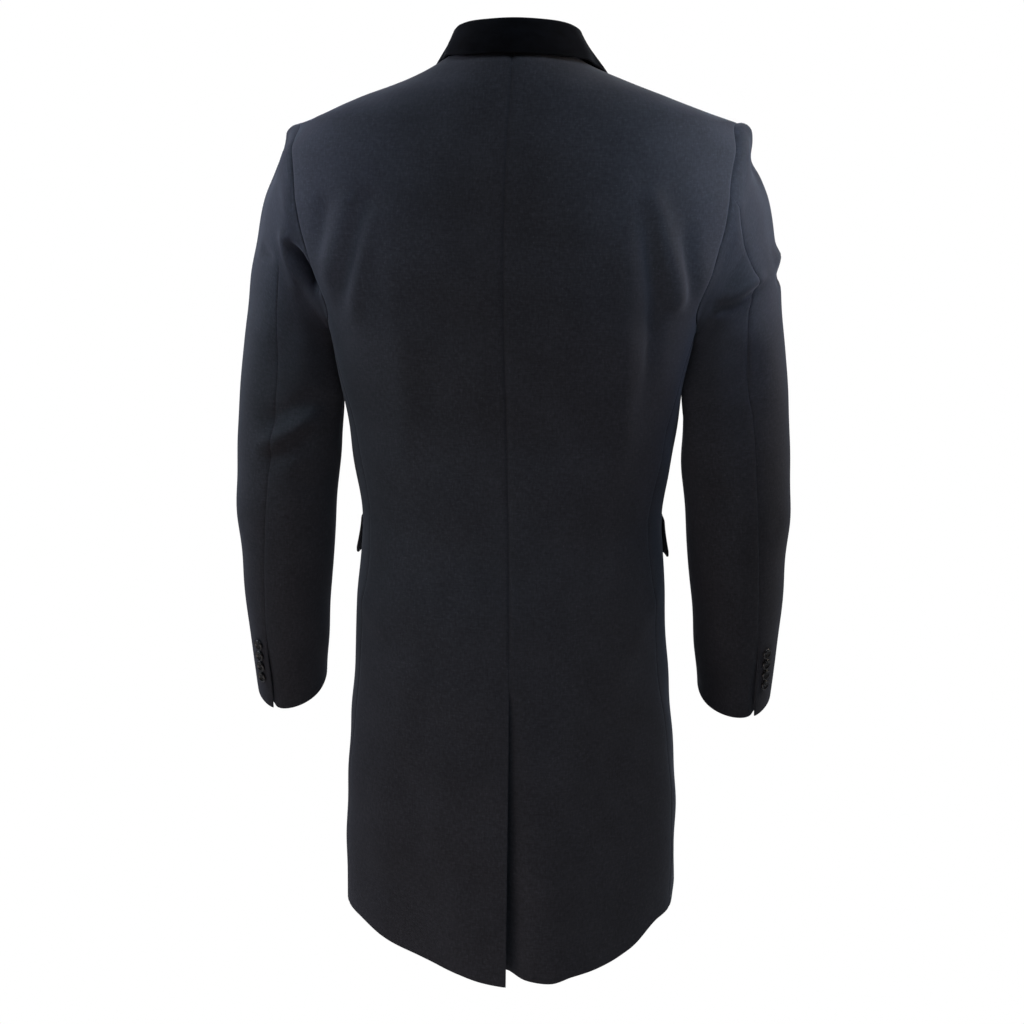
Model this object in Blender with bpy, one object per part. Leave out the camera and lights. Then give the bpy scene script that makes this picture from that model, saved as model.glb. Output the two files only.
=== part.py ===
"""A double-breasted overcoat in its worn shape, hollow and open at neck, cuffs and hem.

Metres, +Z up, +X the wearer's left, -Y the front. The origin lies between the shoulders,
level with the points where the shoulder seams meet the neck.
"""

from collections import namedtuple

import bmesh
import bpy
import numpy as np
from mathutils import Matrix, Vector

LEFT = 1
RIGHT = -1
SIDES = (("left", LEFT), ("right", RIGHT))

# Finishes
Finish = namedtuple("Finish", "colour roughness")
WOOL = Finish((0.020, 0.022, 0.028), 0.90)
VELVET = Finish((0.004, 0.005, 0.007), 0.95)
HORN = Finish((0.012, 0.012, 0.014), 0.25)

# Cloth walls and the clear space between pieces
CLOTH = 0.0020
COLLAR_CLOTH = 0.0024
FLAP_CLOTH = 0.0024
SEAM_GAP = 0.0004
SLEEVE_SEAM_GAP = 0.0006
LAY_GAP = 0.0005
LAPEL_GAP = 0.0022
FLAP_GAP = 0.0009

# The armhole, an oval seen from the side whose lowest point is set back
ARMHOLE_MID = -0.158
ARMHOLE_HALF = 0.104
ARMHOLE_BACK = 0.072
ARMHOLE_FRONT = 0.066
ARMHOLE_SET_BACK = 0.030
ARMHOLE_SET_POWER = 1.5
ARMHOLE_LOW = ARMHOLE_MID - ARMHOLE_HALF - SEAM_GAP
ARMHOLE_HIGH = ARMHOLE_MID + ARMHOLE_HALF + SEAM_GAP

# Level rings of the body cloth: depth behind and in front of the side, and squareness
SHOULDER_Z = -0.054
NECK_Z = 0.010
Ring = namedtuple("Ring", "z back front square")
RINGS = (
    Ring(-0.945, 0.196, 0.172, 2.20),
    Ring(-0.800, 0.180, 0.165, 2.20),
    Ring(-0.660, 0.160, 0.157, 2.20),
    Ring(-0.560, 0.142, 0.150, 2.25),
    Ring(-0.480, 0.125, 0.144, 2.30),
    Ring(-0.390, 0.121, 0.145, 2.40),
    Ring(-0.320, 0.129, 0.150, 2.45),
    Ring(-0.262, 0.137, 0.150, 2.45),
    Ring(-0.200, 0.141, 0.140, 2.40),
    Ring(-0.134, 0.139, 0.122, 2.32),
    Ring(-0.090, 0.132, 0.104, 2.22),
    Ring(SHOULDER_Z, 0.121, 0.084, 2.10),
    Ring(-0.030, 0.112, 0.069, 1.85),
    Ring(-0.012, 0.103, 0.056, 1.75),
    Ring(0.000, 0.095, 0.046, 1.85),
    Ring(NECK_Z, 0.086, 0.036, 2.00),
)
# Half width of the body at the side, up to the shoulder point, and of the neck
Width = namedtuple("Width", "z half_width")
WIDTHS = (
    Width(-0.945, 0.1855),
    Width(-0.800, 0.1845),
    Width(-0.660, 0.1755),
    Width(-0.560, 0.1700),
    Width(-0.480, 0.1635),
    Width(-0.390, 0.1755),
    Width(-0.320, 0.1860),
    Width(-0.262, 0.1985),
    Width(-0.200, 0.2290),
    Width(-0.134, 0.2450),
    Width(-0.090, 0.2480),
    Width(SHOULDER_Z, 0.2306),
)
NECK_HALF = 0.0700
# Away from the shoulder seam the cloth rounds over the shoulder with no corner
ROUND_FROM_Z = -0.134
ROUNDED = (
    Width(-0.945, 0.1855),
    Width(-0.262, 0.1985),
    Width(ROUND_FROM_Z, 0.2450),
    Width(-0.090, 0.2420),
    Width(SHOULDER_Z, 0.2220),
    Width(-0.030, 0.1720),
    Width(-0.012, 0.1180),
    Width(0.000, 0.0890),
    Width(NECK_Z, NECK_HALF),
)
SHOULDER_CURVE = 1.2
ROUND_BY = 0.5

# The hem's height on each side by angle: -90 is centre front, 0 the side, 90 centre back
Hem = namedtuple("Hem", "degrees left right")
HEM = (
    Hem(-90, -0.908, -0.908),
    Hem(0, -0.896, -0.893),
    Hem(30, -0.901, -0.903),
    Hem(45, -0.909, -0.915),
    Hem(60, -0.917, -0.925),
    Hem(76, -0.926, -0.933),
    Hem(90, -0.932, -0.923),
)
HEM_LEVEL = -0.915
HEM_FADE_Z = -0.700

# The side seam, as how far it lies behind the side at each height
Seam = namedtuple("Seam", "z behind")
SIDE_SEAM = (
    Seam(-0.945, 0.080),
    Seam(-0.750, 0.072),
    Seam(-0.550, 0.066),
    Seam(-0.400, 0.060),
    Seam(-0.300, 0.048),
    Seam(ARMHOLE_LOW, ARMHOLE_SET_BACK),
)

# The free edge of each front: front edge, roll line and neck seam, left side
BREAK_Z = -0.400
CHEST_Z = -0.320
GORGE_Z = -0.036
FRONT_TOP_Z = 0.007
FRONT_LAP = 0.090
Edge = namedtuple("Edge", "z across")
FRONT_EDGE = (
    Edge(-0.945, -FRONT_LAP),
    Edge(BREAK_Z, -FRONT_LAP),
    Edge(GORGE_Z, 0.0375),
    Edge(-0.018, 0.0520),
    Edge(0.000, 0.0655),
    Edge(NECK_Z, 0.0690),
)
OVERLAP_LIFT = 0.0080
OVERLAP_FULL = 0.098
OVERLAP_NONE = 0.170
OVERLAP_FADE = 0.10

# The centre back vent: the left side laps over an under-lap that carries on from the right
VENT_TOP = -0.620
VENT_STAND = 0.006
VENT_RECESS = 0.0030
VENT_RAMP = 0.030
VENT_SPREAD = 0.050
RECESS_SPREAD = VENT_SPREAD / 3
UNDERLAP_REACH = (0.042, 0.018)

# Soft ridges and hollows of the body cloth, from one point to another
Fold = namedtuple("Fold", "degrees_from z_from degrees_to z_to width depth")
BODY_FOLDS = (
    Fold(58, -0.150, 37, -0.265, 0.013, 0.0045),
    Fold(50, -0.160, 38, -0.228, 0.011, -0.0040),
    Fold(124, -0.158, 142, -0.245, 0.012, -0.0050),
    Fold(134, -0.190, 144, -0.240, 0.011, 0.0035),
    Fold(104, -0.945, 101, -0.720, 0.030, 0.0060),
    Fold(60, -0.945, 62, -0.700, 0.034, -0.0040),
    Fold(128, -0.945, 126, -0.680, 0.034, -0.0045),
    Fold(20, -0.945, 24, -0.640, 0.034, 0.0040),
    Fold(158, -0.945, 156, -0.640, 0.032, 0.0045),
)
FOLD_RADIUS = 0.180

# Sleeve sections from the armhole to the cuff, each through its inner and outer point
Section = namedtuple("Section", "inner_x inner_z outer_x outer_z mid_y half_depth drop")
SLEEVE = (
    Section(0.1985, -0.2620, 0.2306, -0.0540, 0.003, 0.0690, 0.0),
    Section(0.1988, -0.2655, 0.2460, -0.0630, 0.003, 0.0705, 0.0),
    Section(0.1980, -0.2700, 0.2525, -0.0920, -0.0020, 0.0680, 0.0),
    Section(0.1964, -0.2770, 0.2685, -0.1320, -0.0055, 0.0660, 0.0),
    Section(0.1947, -0.2890, 0.2800, -0.1900, -0.0050, 0.0655, 0.0),
    Section(0.1920, -0.3100, 0.2885, -0.2520, -0.0025, 0.0655, 0.0),
    Section(0.1882, -0.3430, 0.2945, -0.3150, 0.0015, 0.0655, 0.0),
    Section(0.1855, -0.3950, 0.2990, -0.3850, 0.004, 0.0660, 0.0),
    Section(0.1895, -0.4400, 0.3015, -0.4360, 0.002, 0.0645, 0.004),
    Section(0.1945, -0.4840, 0.3030, -0.4820, -0.004, 0.0625, 0.008),
    Section(0.2045, -0.5830, 0.3020, -0.5810, -0.028, 0.0575, 0.014),
    Section(0.2155, -0.6850, 0.2975, -0.6830, -0.060, 0.0530, 0.0165),
)
SLEEVE_FIT = 0.40
SLEEVE_ROW_POWER = 1.25
HIND_SEAM_TOP = 80.0
HIND_SEAM_CUFF = 63.0
FORE_SEAM = 220.0

# Soft ridges and hollows of the sleeves, by angle round the arm and share of the length
Crease = namedtuple("Crease", "side degrees_from share_from degrees_to share_to width depth")
SLEEVE_FOLDS = (
    Crease(LEFT, 80, 0.09, 128, 0.08, 0.026, -0.0050),
    Crease(LEFT, 72, 0.12, 100, 0.17, 0.018, 0.0030),
    Crease(RIGHT, 60, 0.25, 108, 0.21, 0.016, -0.0055),
    Crease(RIGHT, 60, 0.20, 108, 0.15, 0.018, 0.0040),
    Crease(RIGHT, -20, 0.06, 30, 0.075, 0.014, -0.0045),
    Crease(RIGHT, -30, 0.025, 30, 0.03, 0.012, 0.0050),
)
ARM_RADIUS = 0.055

# Collar sections from centre back round to the front end: where the stand is sewn on, how high
# the fold rises, how far it leans in, and where the fall's edge lies on the coat
Fall = namedtuple("Fall", "half seam_x seam_z rise lean edge_x edge_z edge_lift bow")
COLLAR = (
    Fall(1, 0.0000, 0.0100, 0.0325, 0.0030, 0.0000, 0.0045, 0.0042, 0.0015),
    Fall(1, 0.0360, 0.0100, 0.0320, 0.0045, 0.0450, 0.0040, 0.0042, 0.0015),
    Fall(1, 0.0600, 0.0100, 0.0300, 0.0075, 0.0745, 0.0015, 0.0044, 0.0010),
    Fall(1, 0.0699, 0.0100, 0.0270, 0.0100, 0.0890, -0.0010, 0.0048, 0.0010),
    Fall(-1, 0.0640, 0.0008, 0.0190, 0.0060, 0.1040, -0.0180, 0.0068, 0.0050),
    Fall(-1, 0.0505, -0.0155, 0.0120, 0.0020, 0.1080, -0.0370, 0.0060, 0.0080),
    Fall(-1, 0.0385, -0.0305, 0.0080, 0.0000, 0.0920, -0.0540, 0.0060, 0.0080),
)
FOLD_TURN = 0.0045
FOLD_DEGREES = (0, 50, 90, 130, 175)
BOW_UP = 0.5
BOW_NEAR_EDGE = 0.3

# The lapel seen from the front, left side
LAPEL_BREAK = (-0.0875, -0.398)
LAPEL_GORGE = (0.0400, -0.0405)
LAPEL_NOTCH_SHARE = 0.50
LAPEL_NOTCH_DIP = 0.016
LAPEL_NOTCH_POWER = 6
LAPEL_PEAK = (0.1480, -0.0560)
LAPEL_BELLY = (0.0300, -0.2050)
LAPEL_LEAST = 0.006

# Hip pocket flaps
FLAP_TOP_Z = -0.473
FLAP_HEIGHT = 0.048
FLAP_LENGTH = 0.148
FLAP_REAR_BEHIND = 0.004
FLAP_KICK = 0.0030
FLAP_KICK_POWER = 1.5

# Buttons, turned with a flat back, a rounded rim and a dished face
Turned = namedtuple("Turned", "radius height")
BUTTON_PROFILE = (
    Turned(0.00, 0.00),
    Turned(0.72, 0.00),
    Turned(0.94, 0.22),
    Turned(1.00, 0.50),
    Turned(0.96, 0.82),
    Turned(0.84, 1.00),
    Turned(0.70, 0.92),
    Turned(0.58, 0.70),
    Turned(0.00, 0.66),
)
FRONT_BUTTON_RADIUS = 0.0140
FRONT_BUTTON_HEIGHT = 0.0050
FRONT_BUTTON_ACROSS = 0.058
FRONT_BUTTON_ROWS = (-0.415, -0.525, -0.635)
CUFF_BUTTON_RADIUS = 0.0063
CUFF_BUTTON_HEIGHT = 0.0034
CUFF_BUTTON_COUNT = 4
CUFF_BUTTON_PITCH = 0.0132
CUFF_BUTTON_UP = 0.035
CUFF_BUTTON_BESIDE = 0.0100
CUFF_BUTTON_SEAT = -0.0001
BUTTON_SIDES = 16
BUTTON_WELD = 1e-6

# Faces along and across each piece
BACK_COLUMNS = 9
FRONT_COLUMNS = 15
SKIRT_ROWS = 6
ARMHOLE_ROWS = 9
SHOULDER_ROWS = 4
SLEEVE_ROWS = 15
TOP_SLEEVE_COLUMNS = 11
UNDER_SLEEVE_COLUMNS = 7
COLLAR_COLUMNS = 22
LAPEL_ROWS = 10
LAPEL_COLUMNS = 4
FLAP_COLUMNS = 7
FLAP_ROWS = 3

# Steps for measuring slopes, and points for measuring along a line
SLOPE_STEP = 1e-4
ARM_STEP = 1e-3
FACING_STEP = 0.01
LINE_POINTS = 200


def curve(at, values):
    """A smooth line through the values that doesn't overshoot between them."""
    at = np.asarray(at, float)
    values = np.asarray(values, float)
    step = np.diff(at)
    slope = np.diff(values) / step
    tangent = np.concatenate((slope[:1], np.zeros(len(at) - 2), slope[-1:]))
    for i in range(1, len(at) - 1):
        if slope[i - 1] * slope[i] > 0:
            tangent[i] = 2 * slope[i - 1] * slope[i] / (slope[i - 1] + slope[i])

    def value(x):
        x = np.clip(x, at[0], at[-1])
        i = np.clip(np.searchsorted(at, x) - 1, 0, len(at) - 2)
        t = (x - at[i]) / step[i]
        near = (1 + 2 * t) * (1 - t) ** 2 * values[i] + t * (1 - t) ** 2 * step[i] * tangent[i]
        far = t * t * (3 - 2 * t) * values[i + 1] + t * t * (t - 1) * step[i] * tangent[i + 1]
        return near + far

    return value


def column(rows, name):
    return [getattr(row, name) for row in rows]


def soft_step(x):
    x = np.clip(x, 0, 1)
    return x * x * (3 - 2 * x)


width_rounded = curve(column(ROUNDED, "z"), column(ROUNDED, "half_width"))
width_below = curve(column(WIDTHS, "z"), column(WIDTHS, "half_width"))
depth_back = curve(column(RINGS, "z"), column(RINGS, "back"))
depth_front = curve(column(RINGS, "z"), column(RINGS, "front"))
squareness = curve(column(RINGS, "z"), column(RINGS, "square"))
hem_left = curve(column(HEM, "degrees"), column(HEM, "left"))
hem_right = curve(column(HEM, "degrees"), column(HEM, "right"))
side_seam = curve(column(SIDE_SEAM, "z"), column(SIDE_SEAM, "behind"))


def seam_width(z):
    """The body's half width at the side, which above the shoulder point is the shoulder seam's line."""
    tip = WIDTHS[-1].half_width
    along = np.clip((z - SHOULDER_Z) / (NECK_Z - SHOULDER_Z), 0, 1)
    slope = NECK_HALF + (tip - NECK_HALF) * (1 - along) ** SHOULDER_CURVE
    return np.where(z <= SHOULDER_Z, width_below(z), slope)


def half_width(z, turn):
    """The half width to use where the ring has turned this far from the side, from 0 to 1."""
    rounded = np.where(z < ROUND_FROM_Z, width_below(z), width_rounded(z))
    return seam_width(z) + (rounded - seam_width(z)) * soft_step(turn / ROUND_BY)


def along_fold(across, up, start, end, width):
    """How strongly a fold from start to end shows at each place, from 0 to 1."""
    run = np.subtract(end, start)
    share = ((across - start[0]) * run[0] + (up - start[1]) * run[1]) / (run @ run)
    share = np.clip(share, 0, 1)
    near = np.hypot(across - start[0] - share * run[0], up - start[1] - share * run[1])
    return np.exp(-((near / width) ** 2))


def body_folds(theta, z):
    total = np.zeros(np.shape(theta))
    for fold in BODY_FOLDS:
        start = (np.radians(fold.degrees_from) * FOLD_RADIUS, fold.z_from)
        end = (np.radians(fold.degrees_to) * FOLD_RADIUS, fold.z_to)
        total += fold.depth * along_fold(theta * FOLD_RADIUS, z, start, end, fold.width)
    return total


def body(theta, z, lift=0.0):
    """Points of the body cloth, moved out by lift."""
    theta, z = np.broadcast_arrays(np.asarray(theta, float), np.asarray(z, float))
    n = squareness(z)
    cos, sin = np.cos(theta), np.sin(theta)
    turn = np.abs(sin)
    a = half_width(z, turn)
    b = np.where(sin >= 0, depth_back(z), depth_front(z))
    share_x = np.sign(cos) * np.abs(cos) ** (2 / n)
    share_y = np.sign(sin) * np.abs(sin) ** (2 / n)
    above, below = z + SLOPE_STEP, z - SLOPE_STEP
    a_slope = (half_width(above, turn) - half_width(below, turn)) / (2 * SLOPE_STEP)
    back_slope = (depth_back(above) - depth_back(below)) / (2 * SLOPE_STEP)
    front_slope = (depth_front(above) - depth_front(below)) / (2 * SLOPE_STEP)
    b_slope = np.where(sin >= 0, back_slope, front_slope)
    facing_x = np.sign(share_x) * np.abs(share_x) ** (n - 1) / a
    facing_y = np.sign(share_y) * np.abs(share_y) ** (n - 1) / b
    facing_z = -(np.abs(share_x) ** n * a_slope / a + np.abs(share_y) ** n * b_slope / b)
    facing = np.stack((facing_x, facing_y, facing_z), -1)
    facing /= np.linalg.norm(facing, axis=-1, keepdims=True)
    out = np.asarray(lift + body_folds(theta, z))[..., None]
    return np.stack((a * share_x, b * share_y, z), -1) + facing * out


def angle_at_depth(y, z):
    """The angle on the left half where the cloth is this far behind the side."""
    b = np.where(y >= 0, depth_back(z), depth_front(z))
    return np.arcsin(np.sign(y) * np.clip(np.abs(y) / b, 0, 1) ** (squareness(z) / 2))


def angle_at_width(x, z, half):
    """The angle at this distance across, on the back (half 1) or the front (half -1)."""
    share = np.sign(x) * np.clip(np.abs(x) / half_width(z, 1.0), 0, 1) ** (squareness(z) / 2)
    return half * np.arccos(share)


def on_side(theta, side):
    return theta if side == LEFT else np.pi - theta


def armhole_depth(z, half, clear):
    share = np.clip((z - ARMHOLE_MID) / (ARMHOLE_HALF + clear), -1, 1)
    reach = (ARMHOLE_BACK if half > 0 else ARMHOLE_FRONT) + clear
    set_back = ARMHOLE_SET_BACK * np.clip(-share, 0, 1) ** ARMHOLE_SET_POWER
    return half * reach * np.sqrt(1 - share**2) + set_back


def outer_depth(z, half):
    """How far behind the side a panel's outer edge lies: side seam, armhole, then shoulder seam."""
    seam = side_seam(z) + half * SEAM_GAP / 2
    hole = armhole_depth(z, half, SEAM_GAP)
    shoulder = half * SEAM_GAP / 2
    return np.where(z <= ARMHOLE_LOW, seam, np.where(z < ARMHOLE_HIGH, hole, shoulder))


def hem_change(theta, z, side):
    """How far a row at height z moves so that the lowest row follows the hem."""
    degrees = np.degrees(np.clip(theta, -np.pi / 2, np.pi / 2))
    hem = hem_left(degrees) if side == LEFT else hem_right(degrees)
    return (hem - HEM_LEVEL) * np.clip((HEM_FADE_Z - z) / (HEM_FADE_Z - HEM_LEVEL), 0, 1)


SHARED_LEVELS = (VENT_TOP, VENT_TOP - VENT_RAMP, FLAP_TOP_Z, FLAP_TOP_Z - FLAP_HEIGHT, BREAK_Z, CHEST_Z)


def body_levels(*more):
    """Heights of the rows of faces, the same on neighbouring panels so that their seams match."""
    skirt = np.linspace(HEM_LEVEL, ARMHOLE_LOW, SKIRT_ROWS + 1)
    turn = np.linspace(0, np.pi, ARMHOLE_ROWS + 1)[1:]
    hole = ARMHOLE_MID - (ARMHOLE_HALF + SEAM_GAP) * np.cos(turn)
    shoulder = np.linspace(ARMHOLE_HIGH, NECK_Z, SHOULDER_ROWS + 1)[1:]
    return np.unique(np.concatenate((skirt, hole, shoulder, SHARED_LEVELS, more)))


def spread(theta_from, theta_to, z, side, count):
    """Angles and heights of one row, evenly spaced along the cloth."""
    theta = np.linspace(theta_from, theta_to, LINE_POINTS)
    line = body(on_side(theta, side), z + hem_change(theta, z, side))
    run = np.concatenate(([0], np.cumsum(np.linalg.norm(np.diff(line, axis=0), axis=1))))
    theta = np.interp(np.linspace(0, run[-1], count + 1), run, theta)
    return theta, z + hem_change(theta, z, side)


def material(name, finish):
    made = bpy.data.materials.new(name)
    made.use_nodes = True
    shader = made.node_tree.nodes["Principled BSDF"]
    shader.inputs["Base Color"].default_value = (*finish.colour, 1)
    shader.inputs["Roughness"].default_value = finish.roughness
    return made


def add_object(name, bm, made_of):
    mesh = bpy.data.meshes.new(name)
    bm.to_mesh(mesh)
    bm.free()
    mesh.materials.append(made_of)
    made = bpy.data.objects.new(name, mesh)
    bpy.context.scene.collection.objects.link(made)
    return made


def cloth(name, face, inside, made_of, wanted=None):
    """A sheet of cloth: a grid through rows of points on its face, extruded to the points inside."""
    rows, columns = face.shape[:2]
    bm = bmesh.new()
    bmesh.ops.create_grid(bm, x_segments=columns - 1, y_segments=rows - 1, size=1.0)
    row_of = bm.verts.layers.int.new("row")
    column_of = bm.verts.layers.int.new("column")
    for vert in bm.verts:
        vert[column_of] = round((vert.co.x + 1) / 2 * (columns - 1))
        vert[row_of] = round((vert.co.y + 1) / 2 * (rows - 1))
        vert.co = face[vert[row_of], vert[column_of]]
    if wanted is not None:
        corners = {f: [(v[row_of], v[column_of]) for v in f.verts] for f in bm.faces}
        spare = [f for f, places in corners.items() if not wanted(*min(places))]
        bmesh.ops.delete(bm, geom=spare, context="FACES")
    made = bmesh.ops.extrude_face_region(bm, geom=bm.faces[:], use_keep_orig=True)["geom"]
    for vert in made:
        if isinstance(vert, bmesh.types.BMVert):
            vert.co = inside[vert[row_of], vert[column_of]]
    bmesh.ops.recalc_face_normals(bm, faces=bm.faces[:])
    return add_object(name, bm, made_of)


def sheet(name, place, made_of, wall, wanted=None):
    return cloth(name, place(0.0), place(-wall), made_of, wanted)


def set_in(points, wall):
    """The same grid of points moved back by a wall, square to the sheet."""
    along = np.gradient(points, axis=0)
    across = np.gradient(points, axis=1)
    facing = np.cross(along, across)
    facing /= np.linalg.norm(facing, axis=-1, keepdims=True)
    return points - facing * wall


def vent_share(z):
    return np.clip((VENT_TOP - z) / (VENT_TOP - HEM_LEVEL), 0, 1)


def back_lift(x, z, side):
    """The left edge of the vent stands off; the right is set in under it."""
    if side == LEFT:
        return VENT_STAND * vent_share(z) * np.exp(-((x / VENT_SPREAD) ** 2))
    into = soft_step((VENT_TOP - z) / VENT_RAMP)
    return -VENT_RECESS * into * np.exp(-((x / RECESS_SPREAD) ** 2))


def back_panel(side):
    def place(lift):
        rows = []
        for z in body_levels():
            centre = angle_at_width(SEAM_GAP / 2, z, 1)
            outer = angle_at_depth(outer_depth(z, 1), z)
            theta, heights = spread(centre, outer, z, side, BACK_COLUMNS)
            plain = body(on_side(theta, side), heights)
            moved = back_lift(plain[:, 0], heights, side)
            row = body(on_side(theta, side), heights, moved + lift)
            if side == RIGHT:
                under = np.array(UNDERLAP_REACH)
                lap = body(angle_at_width(under, heights[0], 1), heights[0], lift - VENT_RECESS)
                row = np.concatenate((lap, row))
            rows.append(row)
        return np.array(rows)

    return place


def below_vent(row, column):
    """Whether a face of the right back is cloth: the under-lap is there only below the vent's top."""
    return column >= len(UNDERLAP_REACH) or body_levels()[row] < VENT_TOP - VENT_RAMP - SEAM_GAP


def overlap_lift(theta, z, side):
    """The left front rides over the right front and its lapel."""
    if side == RIGHT:
        return np.zeros(np.shape(theta))
    x = body(theta, z)[..., 0]
    ahead = np.where(np.sin(theta) < 0, 1.0, 0.0)
    across = soft_step((OVERLAP_NONE - x) / (OVERLAP_NONE - OVERLAP_FULL))
    below_neck = soft_step((GORGE_Z - z) / OVERLAP_FADE)
    return OVERLAP_LIFT * ahead * across * below_neck


def front_panel(side):
    edge_at = np.array(column(FRONT_EDGE, "z"))
    edge_across = np.array(column(FRONT_EDGE, "across"))

    def place(lift):
        rows = []
        levels = body_levels(GORGE_Z, FRONT_TOP_Z)
        for z in levels[levels <= FRONT_TOP_Z]:
            edge = angle_at_width(np.interp(z, edge_at, edge_across), z, -1)
            outer = angle_at_depth(outer_depth(z, -1), z)
            theta, heights = spread(edge, outer, z, side, FRONT_COLUMNS)
            moved = overlap_lift(theta, heights, side)
            rows.append(body(on_side(theta, side), heights, moved + lift))
        return np.array(rows)

    return place


def on_front(x, z, side, lift):
    """Points on a front's outer face, moved out by lift."""
    theta = angle_at_width(x, z, -1)
    return body(on_side(theta, side), z, lift + overlap_lift(theta, z, side))


def lapel(side):
    """A peak lapel lying on its front: roll line to outer edge, break to gorge."""
    along = np.linspace(0, 1, LAPEL_ROWS + 1)[:, None]
    across = np.linspace(0, 1, LAPEL_COLUMNS + 1)[None, :]
    roll = [LAPEL_BREAK[k] + (LAPEL_GORGE[k] - LAPEL_BREAK[k]) * along for k in (0, 1)]
    tip = (LAPEL_BREAK[0] + LAPEL_LEAST, LAPEL_BREAK[1])
    bend = ((1 - along) ** 2, 2 * along * (1 - along), along**2)
    outer = [tip[k] * bend[0] + LAPEL_BELLY[k] * bend[1] + LAPEL_PEAK[k] * bend[2] for k in (0, 1)]
    x = roll[0] + (outer[0] - roll[0]) * across
    z = roll[1] + (outer[1] - roll[1]) * across
    notch = np.clip(1 - np.abs(across - LAPEL_NOTCH_SHARE) / LAPEL_NOTCH_SHARE, 0, 1)
    z = z - LAPEL_NOTCH_DIP * notch * along**LAPEL_NOTCH_POWER

    def place(lift):
        return on_front(x, z, side, CLOTH + LAPEL_GAP + lift)

    return place


def sleeve_table():
    outer = np.array([(s.outer_x, s.outer_z) for s in SLEEVE])
    run = np.concatenate(([0], np.cumsum(np.linalg.norm(np.diff(outer, axis=0), axis=1))))
    share = run / run[-1]
    return {name: curve(share, column(SLEEVE, name)) for name in Section._fields}, run[-1]


SLEEVE_LINES, SLEEVE_LENGTH = sleeve_table()


def sleeve_oval(phi, share):
    line = {name: value(share) for name, value in SLEEVE_LINES.items()}
    cos, sin = np.cos(phi), np.sin(phi)
    x = (line["inner_x"] + line["outer_x"]) / 2 + (line["outer_x"] - line["inner_x"]) / 2 * cos
    z = (line["inner_z"] + line["outer_z"]) / 2 + (line["outer_z"] - line["inner_z"]) / 2 * cos
    return np.stack((x, line["mid_y"] + line["half_depth"] * sin, z - line["drop"] * sin), -1)


def armhole_point(phi):
    """The armhole's edge on the body, by angle from the shoulder point round the back."""
    z = ARMHOLE_MID + ARMHOLE_HALF * np.cos(phi)
    half = np.where(np.sin(phi) >= 0, 1, -1)
    y = np.where(half > 0, armhole_depth(z, 1, 0), armhole_depth(z, -1, 0))
    return body(angle_at_depth(y, z), z)


def sleeve_plain(phi, share):
    phi, share = np.broadcast_arrays(np.asarray(phi, float), np.asarray(share, float))
    fit = np.clip(1 - share / SLEEVE_FIT, 0, 1) ** 2
    change = armhole_point(phi) - sleeve_oval(phi, np.zeros(np.shape(share)))
    return sleeve_oval(phi, share) + change * fit[..., None]


def sleeve(phi, share, side, lift=0.0):
    """Points of a sleeve, by angle from its outer line round the back and share of its length."""
    phi, share = np.broadcast_arrays(np.asarray(phi, float), np.asarray(share, float))
    further, nearer = np.minimum(share + ARM_STEP, 1), np.maximum(share - ARM_STEP, 0)
    round_arm = sleeve_plain(phi + ARM_STEP, share) - sleeve_plain(phi - ARM_STEP, share)
    down_arm = sleeve_plain(phi, further) - sleeve_plain(phi, nearer)
    facing = np.cross(down_arm, round_arm)
    facing /= np.linalg.norm(facing, axis=-1, keepdims=True)
    out = np.zeros(np.shape(phi)) + lift
    for fold in (fold for fold in SLEEVE_FOLDS if fold.side == side):
        start = (np.radians(fold.degrees_from) * ARM_RADIUS, fold.share_from * SLEEVE_LENGTH)
        end = (np.radians(fold.degrees_to) * ARM_RADIUS, fold.share_to * SLEEVE_LENGTH)
        out += fold.depth * along_fold(phi * ARM_RADIUS, share * SLEEVE_LENGTH, start, end, fold.width)
    return (sleeve_plain(phi, share) + facing * out[..., None]) * (side, 1, 1)


def hind_seam(share):
    return np.radians(HIND_SEAM_TOP + (HIND_SEAM_CUFF - HIND_SEAM_TOP) * share)


def sleeve_piece(side, first, last, columns):
    """One of a sleeve's two pieces, between the lines of its seams."""
    share = np.linspace(0, 1, SLEEVE_ROWS + 1)[:, None] ** SLEEVE_ROW_POWER
    clear = SLEEVE_SEAM_GAP / 2 / ARM_RADIUS
    across = np.linspace(0, 1, columns + 1)[None, :]

    def place(lift):
        start = first(share) + clear
        end = last(share) - clear
        return sleeve(start + (end - start) * across, share, side, lift)

    return place


def fore_seam(share):
    return np.radians(FORE_SEAM) + 0 * share


def fore_seam_before(share):
    return fore_seam(share) - 2 * np.pi


def collar_section(row):
    """Points across the collar: up the stand, over the fold and down the fall."""
    theta = angle_at_width(row.seam_x, row.seam_z, row.half)
    seam = body(theta, row.seam_z, -CLOTH)
    seam[2] = row.seam_z + SEAM_GAP
    out = body(theta, row.seam_z, FACING_STEP) - body(theta, row.seam_z)
    out[2] = 0
    out /= np.linalg.norm(out)
    up = np.array((0, 0, 1.0))
    crest = seam + up * row.rise - out * row.lean
    centre = crest - up * FOLD_TURN + out * FOLD_TURN
    edge = body(angle_at_width(row.edge_x, row.edge_z, row.half), row.edge_z, row.edge_lift)
    fold = [centre + FOLD_TURN * (np.sin(t) * up - np.cos(t) * out) for t in np.radians(FOLD_DEGREES)]
    stand = (seam + fold[0]) / 2
    middle = (fold[-1] + edge) / 2 + (out + up * BOW_UP) * row.bow
    upper = (fold[-1] + middle) / 2
    lower = (middle + edge) / 2 + out * row.bow * BOW_NEAR_EDGE
    return [seam, stand, *fold, upper, middle, lower, edge]


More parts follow.
